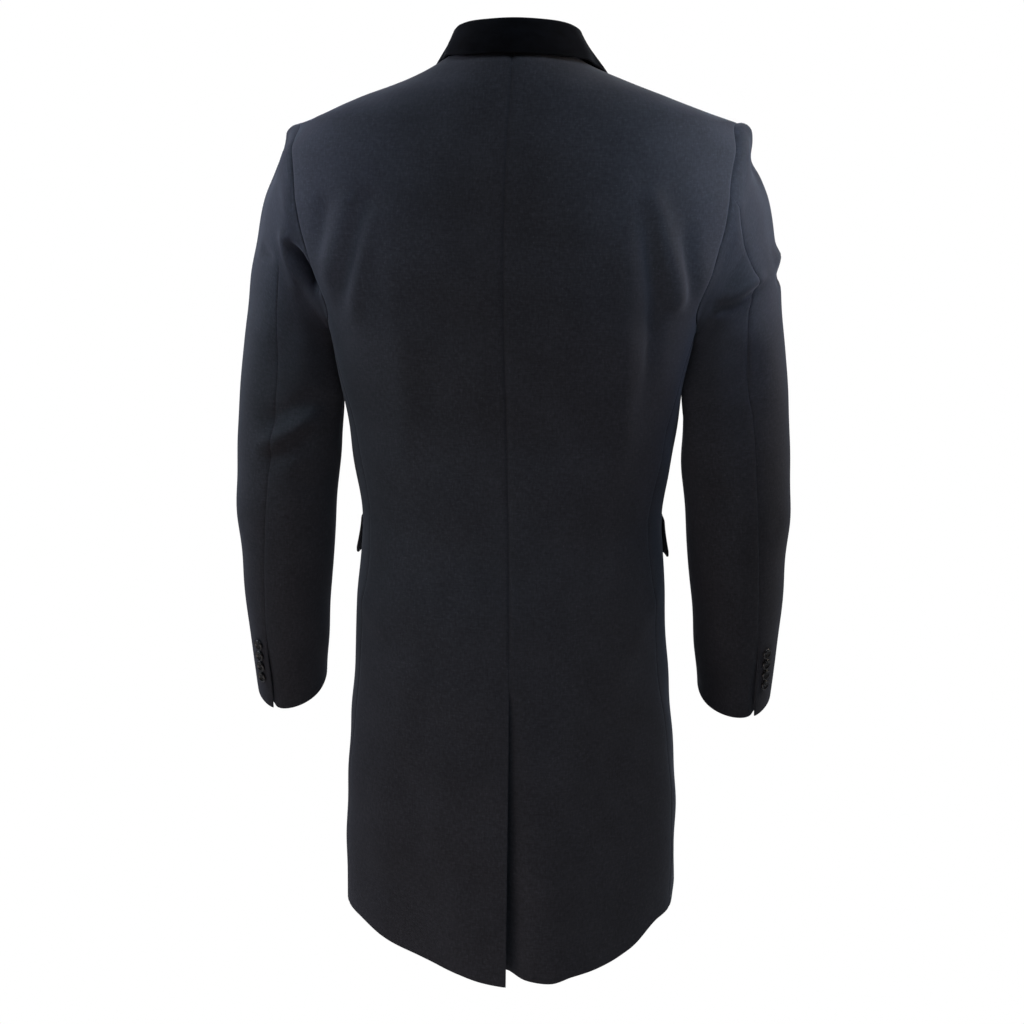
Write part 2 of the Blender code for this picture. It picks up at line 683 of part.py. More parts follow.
def collar_points():
    """Sections for both sides, smoothed along the neck."""
    left = np.array([collar_section(row) for row in COLLAR])
    both = np.concatenate((left[:0:-1] * (-1, 1, 1), left))
    run = np.concatenate(([0], np.cumsum(np.linalg.norm(np.diff(both[:, -1], axis=0), axis=1))))
    at = np.linspace(0, run[-1], COLLAR_COLUMNS + 1)
    points = np.empty((len(at), both.shape[1], 3))
    for j in range(both.shape[1]):
        for k in range(3):
            points[:, j, k] = curve(run, both[:, j, k])(at)
    return points


def flap(side):
    """A pocket flap lying on its front, kicked out a little at the lower edge."""
    rear = angle_at_depth(FLAP_REAR_BEHIND, FLAP_TOP_Z)
    down = np.linspace(0, 1, FLAP_ROWS + 1)[:, None]
    theta = np.linspace(rear, -np.pi / 2, LINE_POINTS)
    line = body(theta, FLAP_TOP_Z)
    run = np.concatenate(([0], np.cumsum(np.linalg.norm(np.diff(line, axis=0), axis=1))))
    theta = np.interp(np.linspace(0, FLAP_LENGTH, FLAP_COLUMNS + 1), run, theta)[None, :]
    z = FLAP_TOP_Z - FLAP_HEIGHT * down + 0 * theta

    def place(lift):
        stand = FLAP_CLOTH + FLAP_GAP + FLAP_KICK * down**FLAP_KICK_POWER
        stand = stand + overlap_lift(theta + 0 * z, z, side)
        return body(on_side(theta, side) + 0 * z, z, stand + lift)

    return place


def button(name, seat, facing, radius, height, made_of):
    bm = bmesh.new()
    verts = [bm.verts.new((point.radius * radius, 0, point.height * height)) for point in BUTTON_PROFILE]
    edges = [bm.edges.new(pair) for pair in zip(verts, verts[1:])]
    bmesh.ops.spin(
        bm,
        geom=verts + edges,
        cent=(0, 0, 0),
        axis=(0, 0, 1),
        angle=2 * np.pi,
        steps=BUTTON_SIDES,
        use_merge=True,
    )
    bmesh.ops.remove_doubles(bm, verts=bm.verts[:], dist=BUTTON_WELD)
    bmesh.ops.recalc_face_normals(bm, faces=bm.faces[:])
    turn = Vector(facing).to_track_quat("Z", "Y").to_matrix().to_4x4()
    bmesh.ops.transform(bm, matrix=Matrix.Translation(seat) @ turn, verts=bm.verts[:])
    return add_object(name, bm, made_of)


def add_front_buttons(made_of):
    """Two columns of buttons, all on the left front, which lies outside."""
    size = (FRONT_BUTTON_RADIUS, FRONT_BUTTON_HEIGHT)
    for row, z in enumerate(FRONT_BUTTON_ROWS, 1):
        for word, side in SIDES:
            x = side * FRONT_BUTTON_ACROSS
            seat = on_front(x, z, LEFT, LAY_GAP)
            facing = on_front(x, z, LEFT, FACING_STEP) - seat
            button(f"front_button_{word}_{row}", seat, facing, *size, made_of)


def add_cuff_buttons(word, side, made_of):
    """A row of small buttons beside the hind-arm seam, from the cuff up."""
    size = (CUFF_BUTTON_RADIUS, CUFF_BUTTON_HEIGHT)
    for k in range(CUFF_BUTTON_COUNT):
        share = 1 - (CUFF_BUTTON_UP + k * CUFF_BUTTON_PITCH) / SLEEVE_LENGTH
        phi = hind_seam(share) - CUFF_BUTTON_BESIDE / ARM_RADIUS
        seat = sleeve(phi, share, side, CUFF_BUTTON_SEAT)
        facing = sleeve(phi, share, side, FACING_STEP) - seat
        button(f"cuff_button_{word}_{k + 1}", seat, facing, *size, made_of)


def clear_scene():
    for old in list(bpy.data.objects):
        bpy.data.objects.remove(old, do_unlink=True)


def main():
    clear_scene()
    wool = material("wool", WOOL)
    velvet = material("velvet", VELVET)
    horn = material("button", HORN)
    for word, side in SIDES:
        sheet(f"back_{word}", back_panel(side), wool, CLOTH, below_vent if side == RIGHT else None)
        sheet(f"front_{word}", front_panel(side), wool, CLOTH)
        sheet(f"lapel_{word}", lapel(side), wool, CLOTH)
        top = sleeve_piece(side, fore_seam_before, hind_seam, TOP_SLEEVE_COLUMNS)
        under = sleeve_piece(side, hind_seam, fore_seam, UNDER_SLEEVE_COLUMNS)
        sheet(f"sleeve_top_{word}", top, wool, CLOTH)
        sheet(f"sleeve_under_{word}", under, wool, CLOTH)
        sheet(f"flap_{word}", flap(side), wool, FLAP_CLOTH)
        add_cuff_buttons(word, side, horn)
    fold = collar_points()
    cloth("collar", fold, set_in(fold, COLLAR_CLOTH), velvet)
    add_front_buttons(horn)


main()
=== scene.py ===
"""The look of a double-breasted overcoat: dark flecked wool, a velvet collar and horn buttons.

Metres, +Z up, +X the wearer's left, -Y the front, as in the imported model. Each piece of cloth is a
thin shell on the form of its solid, with its folds, seams and edges drawn in.
"""

from collections import namedtuple
from functools import partial

import bmesh
import bpy
import numpy as np
from mathutils import Matrix, Vector


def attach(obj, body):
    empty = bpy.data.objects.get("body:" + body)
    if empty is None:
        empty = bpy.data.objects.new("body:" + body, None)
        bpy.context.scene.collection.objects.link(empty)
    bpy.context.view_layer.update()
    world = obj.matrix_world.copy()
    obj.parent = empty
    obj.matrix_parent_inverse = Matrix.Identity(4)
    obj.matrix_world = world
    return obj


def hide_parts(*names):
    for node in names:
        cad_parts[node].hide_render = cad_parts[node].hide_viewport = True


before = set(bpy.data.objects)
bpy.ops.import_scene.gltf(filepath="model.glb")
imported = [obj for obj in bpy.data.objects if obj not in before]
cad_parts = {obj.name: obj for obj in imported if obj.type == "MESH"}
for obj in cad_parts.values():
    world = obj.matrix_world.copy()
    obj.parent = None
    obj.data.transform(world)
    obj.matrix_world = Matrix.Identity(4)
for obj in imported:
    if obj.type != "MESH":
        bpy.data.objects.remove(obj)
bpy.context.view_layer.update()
BODY = "root"

LEFT = 1
RIGHT = -1
SIDES = (("left", LEFT), ("right", RIGHT))

# Cloth walls and the clear space between pieces that lie on each other; sewn edges meet
CLOTH = 0.0020
COLLAR_CLOTH = 0.0024
FLAP_CLOTH = 0.0024
LAY_GAP = 0.0005
LAPEL_GAP = 0.0022
FLAP_GAP = 0.0009

# Seams lie in a narrow groove, some more and some less, and every edge of the cloth is rounded
SEAM_DEPTH = 0.0010
SEAM_WIDTH = 0.0022
ARMHOLE_GROOVE = 1.6
ARMHOLE_FLAT = 0.12
CENTRE_GROOVE = 1.5
SIDE_SHOWS = 0.35
SIDE_FADE = 0.030
EDGE_ROUND = 0.0012
EDGE_SHARE = 0.36

# Faces: their size, their steps in from an edge, the width that each piece's columns are spaced
# for, and how many rows go to a pitch round the armhole and over the shoulder
PITCH = 0.0045
EDGE_STEPS = (0.0, 0.0003, 0.0007, 0.0013, 0.0024, 0.0042)
BACK_ACROSS = 0.25
FRONT_ACROSS = 0.36
SLEEVE_ACROSS = {"top": 0.25, "under": 0.16}
ARMHOLE_ROWS = 0.75
SHOULDER_ROWS = 1.5

# Each kind of piece has its own layer of the weave, so that no two show the same yarns
WEAVE_LAYER = {"back": 1, "front": 2, "lapel": 3, "sleeve": 5, "flap": 7, "collar": 9}

# The armhole, an oval seen from the side whose lowest point is set back
ARMHOLE_MID = -0.158
ARMHOLE_HALF = 0.104
ARMHOLE_BACK = 0.072
ARMHOLE_FRONT = 0.066
ARMHOLE_SET_BACK = 0.030
ARMHOLE_SET_POWER = 1.5
ARMHOLE_LOW = ARMHOLE_MID - ARMHOLE_HALF
ARMHOLE_HIGH = ARMHOLE_MID + ARMHOLE_HALF

# Level rings of the body cloth: depth behind and in front of the side, and squareness
BELOW_HEM_Z = -0.945
SHOULDER_Z = -0.054
NECK_Z = 0.010
Ring = namedtuple("Ring", "z back front square")
RINGS = (
    Ring(BELOW_HEM_Z, 0.196, 0.172, 2.20),
    Ring(-0.800, 0.180, 0.165, 2.20),
    Ring(-0.660, 0.160, 0.157, 2.20),
    Ring(-0.560, 0.142, 0.150, 2.25),
    Ring(-0.480, 0.125, 0.144, 2.30),
    Ring(-0.390, 0.121, 0.145, 2.40),
    Ring(-0.320, 0.129, 0.150, 2.45),
    Ring(-0.262, 0.137, 0.150, 2.45),
    Ring(-0.200, 0.141, 0.140, 2.40),
    Ring(-0.134, 0.139, 0.122, 2.32),
    Ring(-0.090, 0.132, 0.104, 2.22),
    Ring(SHOULDER_Z, 0.121, 0.084, 2.10),
    Ring(-0.030, 0.112, 0.069, 1.85),
    Ring(-0.012, 0.103, 0.056, 1.75),
    Ring(0.000, 0.095, 0.046, 1.85),
    Ring(NECK_Z, 0.086, 0.036, 2.00),
)

# Half width of the body at the side, up to the shoulder point, and of the neck
ROUND_FROM_Z = -0.134
Width = namedtuple("Width", "z half_width")
WIDTHS = (
    Width(BELOW_HEM_Z, 0.1855),
    Width(-0.800, 0.1845),
    Width(-0.660, 0.1755),
    Width(-0.560, 0.1700),
    Width(-0.480, 0.1635),
    Width(-0.390, 0.1755),
    Width(-0.320, 0.1860),
    Width(-0.262, 0.1985),
    Width(-0.200, 0.2290),
    Width(ROUND_FROM_Z, 0.2450),
    Width(-0.090, 0.2480),
    Width(SHOULDER_Z, 0.2306),
)
NECK_HALF = 0.0700

# Away from the shoulder seam the cloth rounds over the shoulder with no corner
ROUNDED = (
    Width(BELOW_HEM_Z, 0.1855),
    Width(-0.262, 0.1985),
    Width(ROUND_FROM_Z, 0.2450),
    Width(-0.090, 0.2420),
    Width(SHOULDER_Z, 0.2220),
    Width(-0.030, 0.1720),
    Width(-0.012, 0.1180),
    Width(0.000, 0.0890),
    Width(NECK_Z, NECK_HALF),
)
SHOULDER_CURVE = 1.2
ROUND_BY = 0.5

# How far the body hangs to one side
Stray = namedtuple("Stray", "z across")
SWAY = (
    Stray(BELOW_HEM_Z, -0.0032),
    Stray(-0.780, -0.0024),
    Stray(-0.560, 0.0000),
    Stray(NECK_Z, 0.0000),
)

# The hem's height on each side by angle: -90 is centre front, 0 the side, 90 centre back
Hem = namedtuple("Hem", "degrees left right")
HEM = (
    Hem(-90, -0.9080, -0.9080),
    Hem(0, -0.8960, -0.8930),
    Hem(30, -0.9010, -0.8965),
    Hem(45, -0.9085, -0.9165),
    Hem(54, -0.9128, -0.9235),
    Hem(62, -0.9160, -0.9255),
    Hem(70, -0.9190, -0.9265),
    Hem(77, -0.9225, -0.9308),
    Hem(84, -0.9285, -0.9280),
    Hem(90, -0.9320, -0.9225),
)
HEM_LEVEL = -0.915
HEM_FADE_Z = -0.700

# The side seam, as how far it lies behind the side, and how far the centre back seam strays
Seam = namedtuple("Seam", "z behind")
SIDE_SEAM = (
    Seam(BELOW_HEM_Z, 0.080),
    Seam(-0.750, 0.072),
    Seam(-0.550, 0.066),
    Seam(-0.400, 0.060),
    Seam(-0.300, 0.048),
    Seam(ARMHOLE_LOW, ARMHOLE_SET_BACK),
)
CENTRE_SEAM = (
    Stray(BELOW_HEM_Z, -0.0025),
    Stray(-0.800, -0.0030),
    Stray(-0.620, -0.0045),
    Stray(-0.400, 0.0000),
    Stray(-0.190, 0.0044),
    Stray(-0.080, 0.0020),
    Stray(NECK_Z, -0.0016),
)

# The free edge of each front: front edge, roll line and neck seam, left side
BREAK_Z = -0.400
GORGE_Z = -0.036
FRONT_TOP_Z = 0.0095
FRONT_LAP = 0.090
Edge = namedtuple("Edge", "z across")
FRONT_EDGE = (
    Edge(BELOW_HEM_Z, -FRONT_LAP),
    Edge(BREAK_Z, -FRONT_LAP),
    Edge(GORGE_Z, 0.0375),
    Edge(-0.018, 0.0520),
    Edge(0.000, 0.0655),
    Edge(NECK_Z, 0.0690),
)
OVERLAP_LIFT = 0.0080
OVERLAP_FULL = 0.098
OVERLAP_NONE = 0.170
OVERLAP_FADE = 0.10

# The centre back vent: the left side laps over an under-lap that carries on from the right
VENT_TOP = -0.620
VENT_STAND = 0.0085
VENT_RECESS = 0.0030
VENT_DITCH = 0.0140
VENT_RAMP = 0.030
VENT_SPREAD = 0.050
RECESS_SPREAD = 0.013
UNDERLAP = 0.042

# Folds: soft ridges and hollows, each along a line of places on the cloth
Fold = namedtuple("Fold", "places width depth")
FOLD_POINTS = 6
FOLD_END = 0.30
FOLD_REACH = 3.0

# Body folds, by angle round the body and height
BODY_FOLDS = (
    # Upper back, from the shoulder blades to the armholes
    Fold(
        ((59, -0.118), (57.5, -0.135), (53, -0.169), (47.5, -0.204), (40, -0.230), (29, -0.262)),
        0.0110,
        -0.0055,
    ),
    Fold(
        ((62, -0.132), (60, -0.149), (58, -0.169), (53, -0.204), (46, -0.236), (38, -0.268)),
        0.0100,
        0.0042,
    ),
    Fold(((54, -0.120), (52, -0.140), (48, -0.169), (39, -0.204), (30, -0.232)), 0.0130, 0.0036),
    Fold(((44, -0.125), (42, -0.147), (38.5, -0.170), (32, -0.198)), 0.0100, -0.0036),
    Fold(
        (
            (120, -0.118), (121.5, -0.130), (128, -0.182), (135.5, -0.216), (140, -0.236),
            (142, -0.250),
        ),
        0.0130,
        0.0074,
    ),
    Fold(
        (
            (117, -0.128), (120.5, -0.156), (124, -0.198), (131, -0.242), (135, -0.275),
            (136, -0.310), (135, -0.360),
        ),
        0.0105,
        -0.0078,
    ),
    Fold(((131, -0.142), (135.5, -0.172), (139.5, -0.202), (145, -0.222), (152, -0.246)), 0.0095, -0.0056),
    # The left shoulder seam, a little hollow
    Fold(
        ((19, -0.024), (17, -0.0385), (13, -0.046), (9, -0.053), (6, -0.064), (4, -0.080)),
        0.0300,
        -0.0050,
    ),
    # Drape lines down the back and the hollow between the shoulder blades
    Fold(((67, -0.085), (66, -0.150), (64, -0.222), (61, -0.350), (57, -0.460)), 0.0180, 0.0046),
    Fold(((114, -0.085), (115.5, -0.170), (120, -0.231), (126, -0.350), (130, -0.460)), 0.0160, 0.0060),
    Fold(((92, -0.080), (93, -0.180), (92, -0.330)), 0.0340, -0.0035),
    Fold(((84, -0.430), (90, -0.490), (98, -0.540)), 0.0300, -0.0020),
    # The waist, pulled in at the sides
    Fold(((20, -0.452), (42, -0.470), (60, -0.492)), 0.0110, -0.0016),
    Fold(((160, -0.455), (140, -0.475), (122, -0.500)), 0.0120, -0.0016),
    Fold(((14, -0.552), (32, -0.566), (48, -0.590)), 0.0130, 0.0022),
    Fold(((166, -0.545), (148, -0.565), (134, -0.596)), 0.0130, 0.0020),
    # Flutes of the skirt, behind and in front
    Fold(((104, -1.050), (103, -0.900), (100, -0.740), (98, -0.640)), 0.0300, 0.0065),
    Fold(((59, -1.050), (60, -0.900), (62, -0.740), (63, -0.620)), 0.0340, -0.0050),
    Fold(((129, -1.050), (128, -0.900), (126, -0.740), (124, -0.600)), 0.0340, -0.0055),
    Fold(((19, -1.050), (21, -0.900), (24, -0.740), (26, -0.560)), 0.0330, 0.0045),
    Fold(((158, -1.050), (157, -0.900), (156, -0.740), (153, -0.580)), 0.0320, 0.0050),
    Fold(((76, -1.050), (77, -0.900), (78, -0.800)), 0.0200, 0.0025),
    Fold(((-24, -1.050), (-23, -0.880), (-20, -0.680)), 0.0320, -0.0050),
    Fold(((-52, -1.050), (-50, -0.880), (-46, -0.640)), 0.0330, 0.0050),
    Fold(((204, -1.050), (202, -0.860), (199, -0.660)), 0.0320, -0.0048),
    Fold(((231, -1.050), (229, -0.880), (226, -0.660)), 0.0330, 0.0045),
    # The front, from the shoulders to the armholes and at the button stance
    Fold(((-52, -0.130), (-46, -0.190), (-34, -0.250), (-22, -0.290)), 0.0120, -0.0045),
    Fold(((-46, -0.120), (-40, -0.180), (-28, -0.235)), 0.0115, 0.0040),
    Fold(((230, -0.135), (225, -0.190), (213, -0.245), (200, -0.290)), 0.0120, -0.0045),
    Fold(((225, -0.125), (219, -0.180), (208, -0.230)), 0.0115, 0.0038),
    Fold(((-66, -0.418), (-44, -0.440), (-22, -0.452)), 0.0110, -0.0020),
    Fold(((246, -0.421), (222, -0.436), (204, -0.450)), 0.0110, -0.0018),
)

# Low waves all over the cloth: how many to a metre each way, and how high
Ripple = namedtuple("Ripple", "across deep up height phase")
RIPPLES = (
    Ripple(6.1, 3.2, 3.9, 0.00055, 0.3),
    Ripple(-5.3, 5.6, 7.7, 0.00045, 1.9),
    Ripple(10.3, -4.7, 2.9, 0.00040, 3.1),
    Ripple(3.7, 8.1, -11.3, 0.00032, 4.4),
    Ripple(-9.4, -6.7, 14.1, 0.00026, 5.2),
)

# Sleeve sections from the armhole to the cuff, each through its inner and outer point
Section = namedtuple("Section", "inner_x inner_z outer_x outer_z mid_y half_depth drop", defaults=(0.0,))
SLEEVE = (
    Section(0.1985, -0.2620, 0.2306, -0.0540, 0.003, 0.0690),
    Section(0.1988, -0.2655, 0.2460, -0.0630, 0.0008, 0.0672),
    Section(0.1980, -0.2700, 0.2525, -0.0920, -0.0020, 0.0680),
    Section(0.1964, -0.2770, 0.2685, -0.1320, -0.0055, 0.0660),
    Section(0.1947, -0.2890, 0.2800, -0.1900, -0.0050, 0.0655),
    Section(0.1895, -0.3100, 0.2885, -0.2520, -0.0025, 0.0655),
    Section(0.1842, -0.3430, 0.2945, -0.3150, 0.0015, 0.0655),
    Section(0.1855, -0.3950, 0.2990, -0.3850, 0.004, 0.0660),
    Section(0.1895, -0.4400, 0.3015, -0.4360, 0.002, 0.0645, 0.004),
    Section(0.1945, -0.4840, 0.3030, -0.4820, -0.004, 0.0625, 0.008),
    Section(0.2045, -0.5830, 0.3020, -0.5810, -0.028, 0.0575, 0.014),
    Section(0.2155, -0.6830, 0.2975, -0.6850, -0.060, 0.0530, 0.0215),
)
SLEEVE_FIT = 0.40
INNER_SWAY = 0.0026
INNER_SWAY_FROM = 0.45
INNER_SWAY_FULL = 0.15
# The upper sleeve is flatter behind and outside than an oval
SLEEVE_FLAT = 0.50
FLAT_FULL = 0.03
FLAT_FADES = 0.18
FLAT_GONE = 0.42
SLEEVE_ROW_POWER = 1.15
SLEEVE_SEWN = 0.008
# The sleeve's edge turned in under the body along the armhole
TUCK = (0.006, 0.003, 0.001, 0.0)
TUCK_UNDER = 0.0008
ARM_RADIUS = 0.055
ARMHOLE_POINTS = 721
FORE_SEAM = 220.0
Hind = namedtuple("Hind", "share degrees")
HIND_SEAM = {
    LEFT: (
        Hind(0.000, 84),
        Hind(0.164, 81),
        Hind(0.259, 82),
        Hind(0.385, 84),
        Hind(0.489, 82),
        Hind(0.826, 68.5),
        Hind(1.000, 65),
    ),
    RIGHT: (
        Hind(0.000, 73),
        Hind(0.021, 76),
        Hind(0.078, 75),
        Hind(0.120, 77.5),
        Hind(0.194, 70),
        Hind(0.228, 66.5),
        Hind(0.264, 81),
        Hind(0.312, 83),
        Hind(0.434, 81),
        Hind(0.479, 77),
        Hind(0.826, 66),
        Hind(1.000, 58),
    ),
}
# How far down each sleeve the hind seam starts to show
HIND_SHOWS = {LEFT: 0.15, RIGHT: 0.0}
HIND_FADE = 0.04

# The buttoned slit at each cuff, where the top sleeve laps over the under sleeve
SLIT_SHARE = 0.82
SLIT_FULL = 0.16
SLIT_LAP = 0.0050
SLIT_STAND = 0.0012
SLIT_RECESS = 0.0070
SLIT_SPREAD = 0.013

# Sleeve folds, by angle round the arm and share of the sleeve's length
SLEEVE_FOLDS = {
    LEFT: (
        # The cloth breaking below the armhole
        Fold(
            ((72, 0.088), (79, 0.097), (88, 0.110), (95.5, 0.130), (102.5, 0.158), (108, 0.190)),
            0.0060,
            0.0050,
        ),
        Fold(((44, 0.200), (58, 0.186), (74, 0.176)), 0.0060, -0.0026),
        # The sleeve head, full and then hollow
        Fold(((-45, 0.010), (0, 0.012), (45, 0.012)), 0.0075, 0.0022),
        Fold(((-50, 0.035), (0, 0.045), (50, 0.040)), 0.0180, -0.0045),
        # The inner side, filled out towards the body, and the back of the arm
        Fold(((151, 0.070), (155, 0.200), (155, 0.400), (155, 0.600)), 0.0140, 0.0076),
        Fold(((100, 0.250), (94, 0.330), (90, 0.400)), 0.0150, -0.0030),
        # The crease behind the elbow
        Fold(((62, 0.505), (79, 0.490), (98, 0.470), (119, 0.445), (142, 0.420)), 0.0110, -0.0045),
        Fold(
            ((52, 0.556), (72, 0.538), (84, 0.527), (98, 0.510), (119, 0.482), (146, 0.452)),
            0.0095,
            0.0048,
        ),
        Fold(((64, 0.576), (82, 0.562), (98, 0.546), (119, 0.519), (142, 0.490)), 0.0115, -0.0044),
        # Down the hind seam, then creases in front at the elbow and armhole
        Fold(((60, 0.300), (56, 0.400), (52, 0.520)), 0.0200, 0.0022),
        Fold(((-110, 0.480), (-80, 0.500), (-50, 0.515)), 0.0100, -0.0040),
        Fold(((-112, 0.540), (-84, 0.548), (-58, 0.560)), 0.0090, -0.0034),
        Fold(((-118, 0.440), (-90, 0.455), (-66, 0.462)), 0.0100, -0.0026),
        Fold(((-60, 0.060), (-72, 0.110), (-84, 0.170)), 0.0120, -0.0040),
        # The forearm
        Fold(((100, 0.560), (120, 0.600), (140, 0.620)), 0.0140, -0.0022),
        Fold(((30, 0.660), (52, 0.690), (80, 0.700)), 0.0130, -0.0016),
    ),
    RIGHT: (
        # The cloth breaking below the armhole and out to the side
        Fold(
            (
                (46, 0.258), (58, 0.249), (67, 0.241), (80, 0.231), (91, 0.220), (104, 0.202), (116, 0.168),
                (126, 0.128), (132, 0.100),
            ),
            0.0052,
            -0.0075,
        ),
        Fold(((48, 0.228), (67, 0.220), (91, 0.198), (106, 0.167), (127, 0.076)), 0.0090, 0.0055),
        Fold(((-14, 0.228), (10, 0.232), (34, 0.230)), 0.0085, 0.0040),
        Fold(((-14, 0.262), (10, 0.264), (36, 0.262)), 0.0075, -0.0040),
        # The sleeve head, hollow below a full edge
        Fold(((-40, 0.062), (0, 0.070), (40, 0.076)), 0.0130, -0.0045),
        Fold(((-60, 0.012), (0, 0.014), (60, 0.016)), 0.0100, 0.0036),
        # The inner side, filled out towards the body, and the back of the arm
        Fold(((151, 0.060), (155, 0.200), (155, 0.400), (155, 0.600)), 0.0140, 0.0085),
        Fold(((96, 0.300), (92, 0.370), (88, 0.460)), 0.0160, -0.0028),
        # Down the hind seam, then creases in front at the elbow and armhole
        Fold(((60, 0.310), (55, 0.400), (50, 0.500)), 0.0200, 0.0022),
        Fold(((-112, 0.470), (-82, 0.492), (-54, 0.500)), 0.0100, -0.0038),
        Fold(((-110, 0.530), (-80, 0.545), (-52, 0.552)), 0.0090, -0.0034),
        Fold(((-60, 0.070), (-74, 0.120), (-84, 0.180)), 0.0120, -0.0042),
        # The forearm
        Fold(((98, 0.590), (118, 0.620), (138, 0.640)), 0.0140, -0.0022),
        Fold(((34, 0.640), (56, 0.676), (80, 0.690)), 0.0130, -0.0016),
    ),
}

# Hollows where a sleeve drops away from the body's edge at the armhole
SLEEVE_HOLLOWS = {
    LEFT: (
        Fold(
            ((80, 0.094), (90, 0.084), (100, 0.070), (110, 0.054), (120, 0.044), (132, 0.040)),
            0.0060,
            -0.0190,
        ),
        Fold(((106, 0.058), (114, 0.048), (122, 0.042), (134, 0.042)), 0.0055, -0.0090),
    ),
    RIGHT: (),
}

# Collar sections from centre back round to the front end: where the stand is sewn on, how high
# the fold rises, how far it leans in, and where the fall's edge lies on the coat
Fall = namedtuple("Fall", "half seam_x seam_z rise lean edge_x edge_z edge_lift bow left_in")
COLLAR = (
    Fall(1, 0.0000, 0.0100, 0.0325, 0.0030, 0.0000, 0.0045, 0.0042, 0.0015, 0.000),
    Fall(1, 0.0360, 0.0100, 0.0320, 0.0045, 0.0450, 0.0040, 0.0042, 0.0015, 0.001),
    Fall(1, 0.0600, 0.0100, 0.0300, 0.0075, 0.0745, 0.0032, 0.0034, 0.0010, 0.008),
    Fall(1, 0.0699, 0.0100, 0.0270, 0.0100, 0.0890, 0.0012, 0.0030, 0.0010, 0.011),
    Fall(-1, 0.0640, 0.0008, 0.0190, 0.0060, 0.1040, -0.0180, 0.0050, 0.0050, 0.009),
    Fall(-1, 0.0505, -0.0155, 0.0120, 0.0020, 0.1080, -0.0370, 0.0060, 0.0080, 0.003),
    Fall(-1, 0.0385, -0.0305, 0.0080, 0.0000, 0.0920, -0.0540, 0.0060, 0.0080, 0.000),
)
FOLD_TURN = 0.0045
COLLAR_ASIDE = -0.0028
FOLD_DEGREES = (0, 50, 90, 130, 175)
BOW_UP = 0.5
BOW_NEAR_EDGE = 0.3
EDGE_SLOPE = 0.45
COLLAR_LENGTH = 0.50
COLLAR_WIDTH = 0.085
COLLAR_PITCH = 0.0030

# The lapel seen from the front, left side, with its roll
LAPEL_BREAK = (-0.0875, -0.398)
LAPEL_GORGE = (0.0400, -0.0405)
LAPEL_NOTCH_SHARE = 0.50
LAPEL_NOTCH_DIP = 0.016
LAPEL_NOTCH_POWER = 6
LAPEL_PEAK = (0.1480, -0.0560)
LAPEL_BELLY = (0.0300, -0.2050)
LAPEL_LEAST = 0.006
LAPEL_LENGTH = 0.39
LAPEL_WIDTH = 0.10
ROLL_RISE = 0.0028
ROLL_REACH = 0.0042
ROLL_STEPS = 9
ROLL_EASE = 0.25

# Hip pocket flaps
FLAP_TOP_Z = -0.473
FLAP_HEIGHT = 0.048
FLAP_LENGTH = 0.148
FLAP_REAR_BEHIND = 0.004
FLAP_KICK = 0.0030
FLAP_KICK_POWER = 1.5
FLAP_CORNER = 0.012
FLAP_PITCH = 0.0032
FLAP_EMERGES = 0.006
FLAP_CLEAR = 0.0003
FLAP_SEWN_WALL = 0.45

# Buttons, turned with a flat back, a rounded rim and a dished face with four holes
Turned = namedtuple("Turned", "radius height")
BUTTON_PROFILE = (
    Turned(0.00, 0.00),
    Turned(0.60, 0.00),
    Turned(0.78, 0.06),
    Turned(0.91, 0.20),
    Turned(0.98, 0.40),
    Turned(1.00, 0.58),
    Turned(0.98, 0.76),
    Turned(0.93, 0.91),
    Turned(0.86, 0.99),
    Turned(0.79, 1.00),
    Turned(0.72, 0.94),
    Turned(0.66, 0.82),
    Turned(0.61, 0.73),
    Turned(0.55, 0.69),
    Turned(0.00, 0.66),
)
BUTTON_HOLE_OUT = 0.24
BUTTON_HOLE = 0.085
DRILL_LENGTH = 4
THREAD = 0.055
THREAD_HEIGHT = 0.70
FRONT_BUTTON_RADIUS = 0.0140
FRONT_BUTTON_HEIGHT = 0.0050
FRONT_BUTTON_ACROSS = 0.058
FRONT_BUTTON_ROWS = (-0.415, -0.525, -0.635)
CUFF_BUTTON_RADIUS = 0.0063
CUFF_BUTTON_HEIGHT = 0.0034
CUFF_BUTTON_COUNT = 4
CUFF_BUTTON_PITCH = 0.0132
CUFF_BUTTON_UP = 0.035
CUFF_BUTTON_BESIDE = 0.0100
BUTTON_SIDES = 40
HOLE_SIDES = 12
BUTTON_WELD = 1e-6

# Steps for measuring slopes, and points for measuring along a line
SLOPE_STEP = 1e-4
ARM_STEP = 1e-3
FACING_STEP = 0.01
LINE_POINTS = 160


def curve(at, values):
    """A smooth line through the values that doesn't overshoot between them."""
    at = np.asarray(at, float)
    values = np.asarray(values, float)
    step = np.diff(at)
    slope = np.diff(values) / step
    tangent = np.concatenate((slope[:1], np.zeros(len(at) - 2), slope[-1:]))
    for i in range(1, len(at) - 1):
        if slope[i - 1] * slope[i] > 0:
            tangent[i] = 2 * slope[i - 1] * slope[i] / (slope[i - 1] + slope[i])

    def value(x):
        x = np.clip(x, at[0], at[-1])
        i = np.clip(np.searchsorted(at, x) - 1, 0, len(at) - 2)
        t = (x - at[i]) / step[i]
        near = (1 + 2 * t) * (1 - t) ** 2 * values[i] + t * (1 - t) ** 2 * step[i] * tangent[i]
        far = t * t * (3 - 2 * t) * values[i + 1] + t * t * (t - 1) * step[i] * tangent[i + 1]
        return near + far

    return value


def column(rows, name):
    return [getattr(row, name) for row in rows]


def through(rows, name):
    """A smooth line through a column of a table, by the table's first column."""
    return curve([row[0] for row in rows], column(rows, name))


def steepness(line, z):
    return (line(z + SLOPE_STEP) - line(z - SLOPE_STEP)) / (2 * SLOPE_STEP)


def unit(vectors):
    return vectors / np.linalg.norm(vectors, axis=-1, keepdims=True)


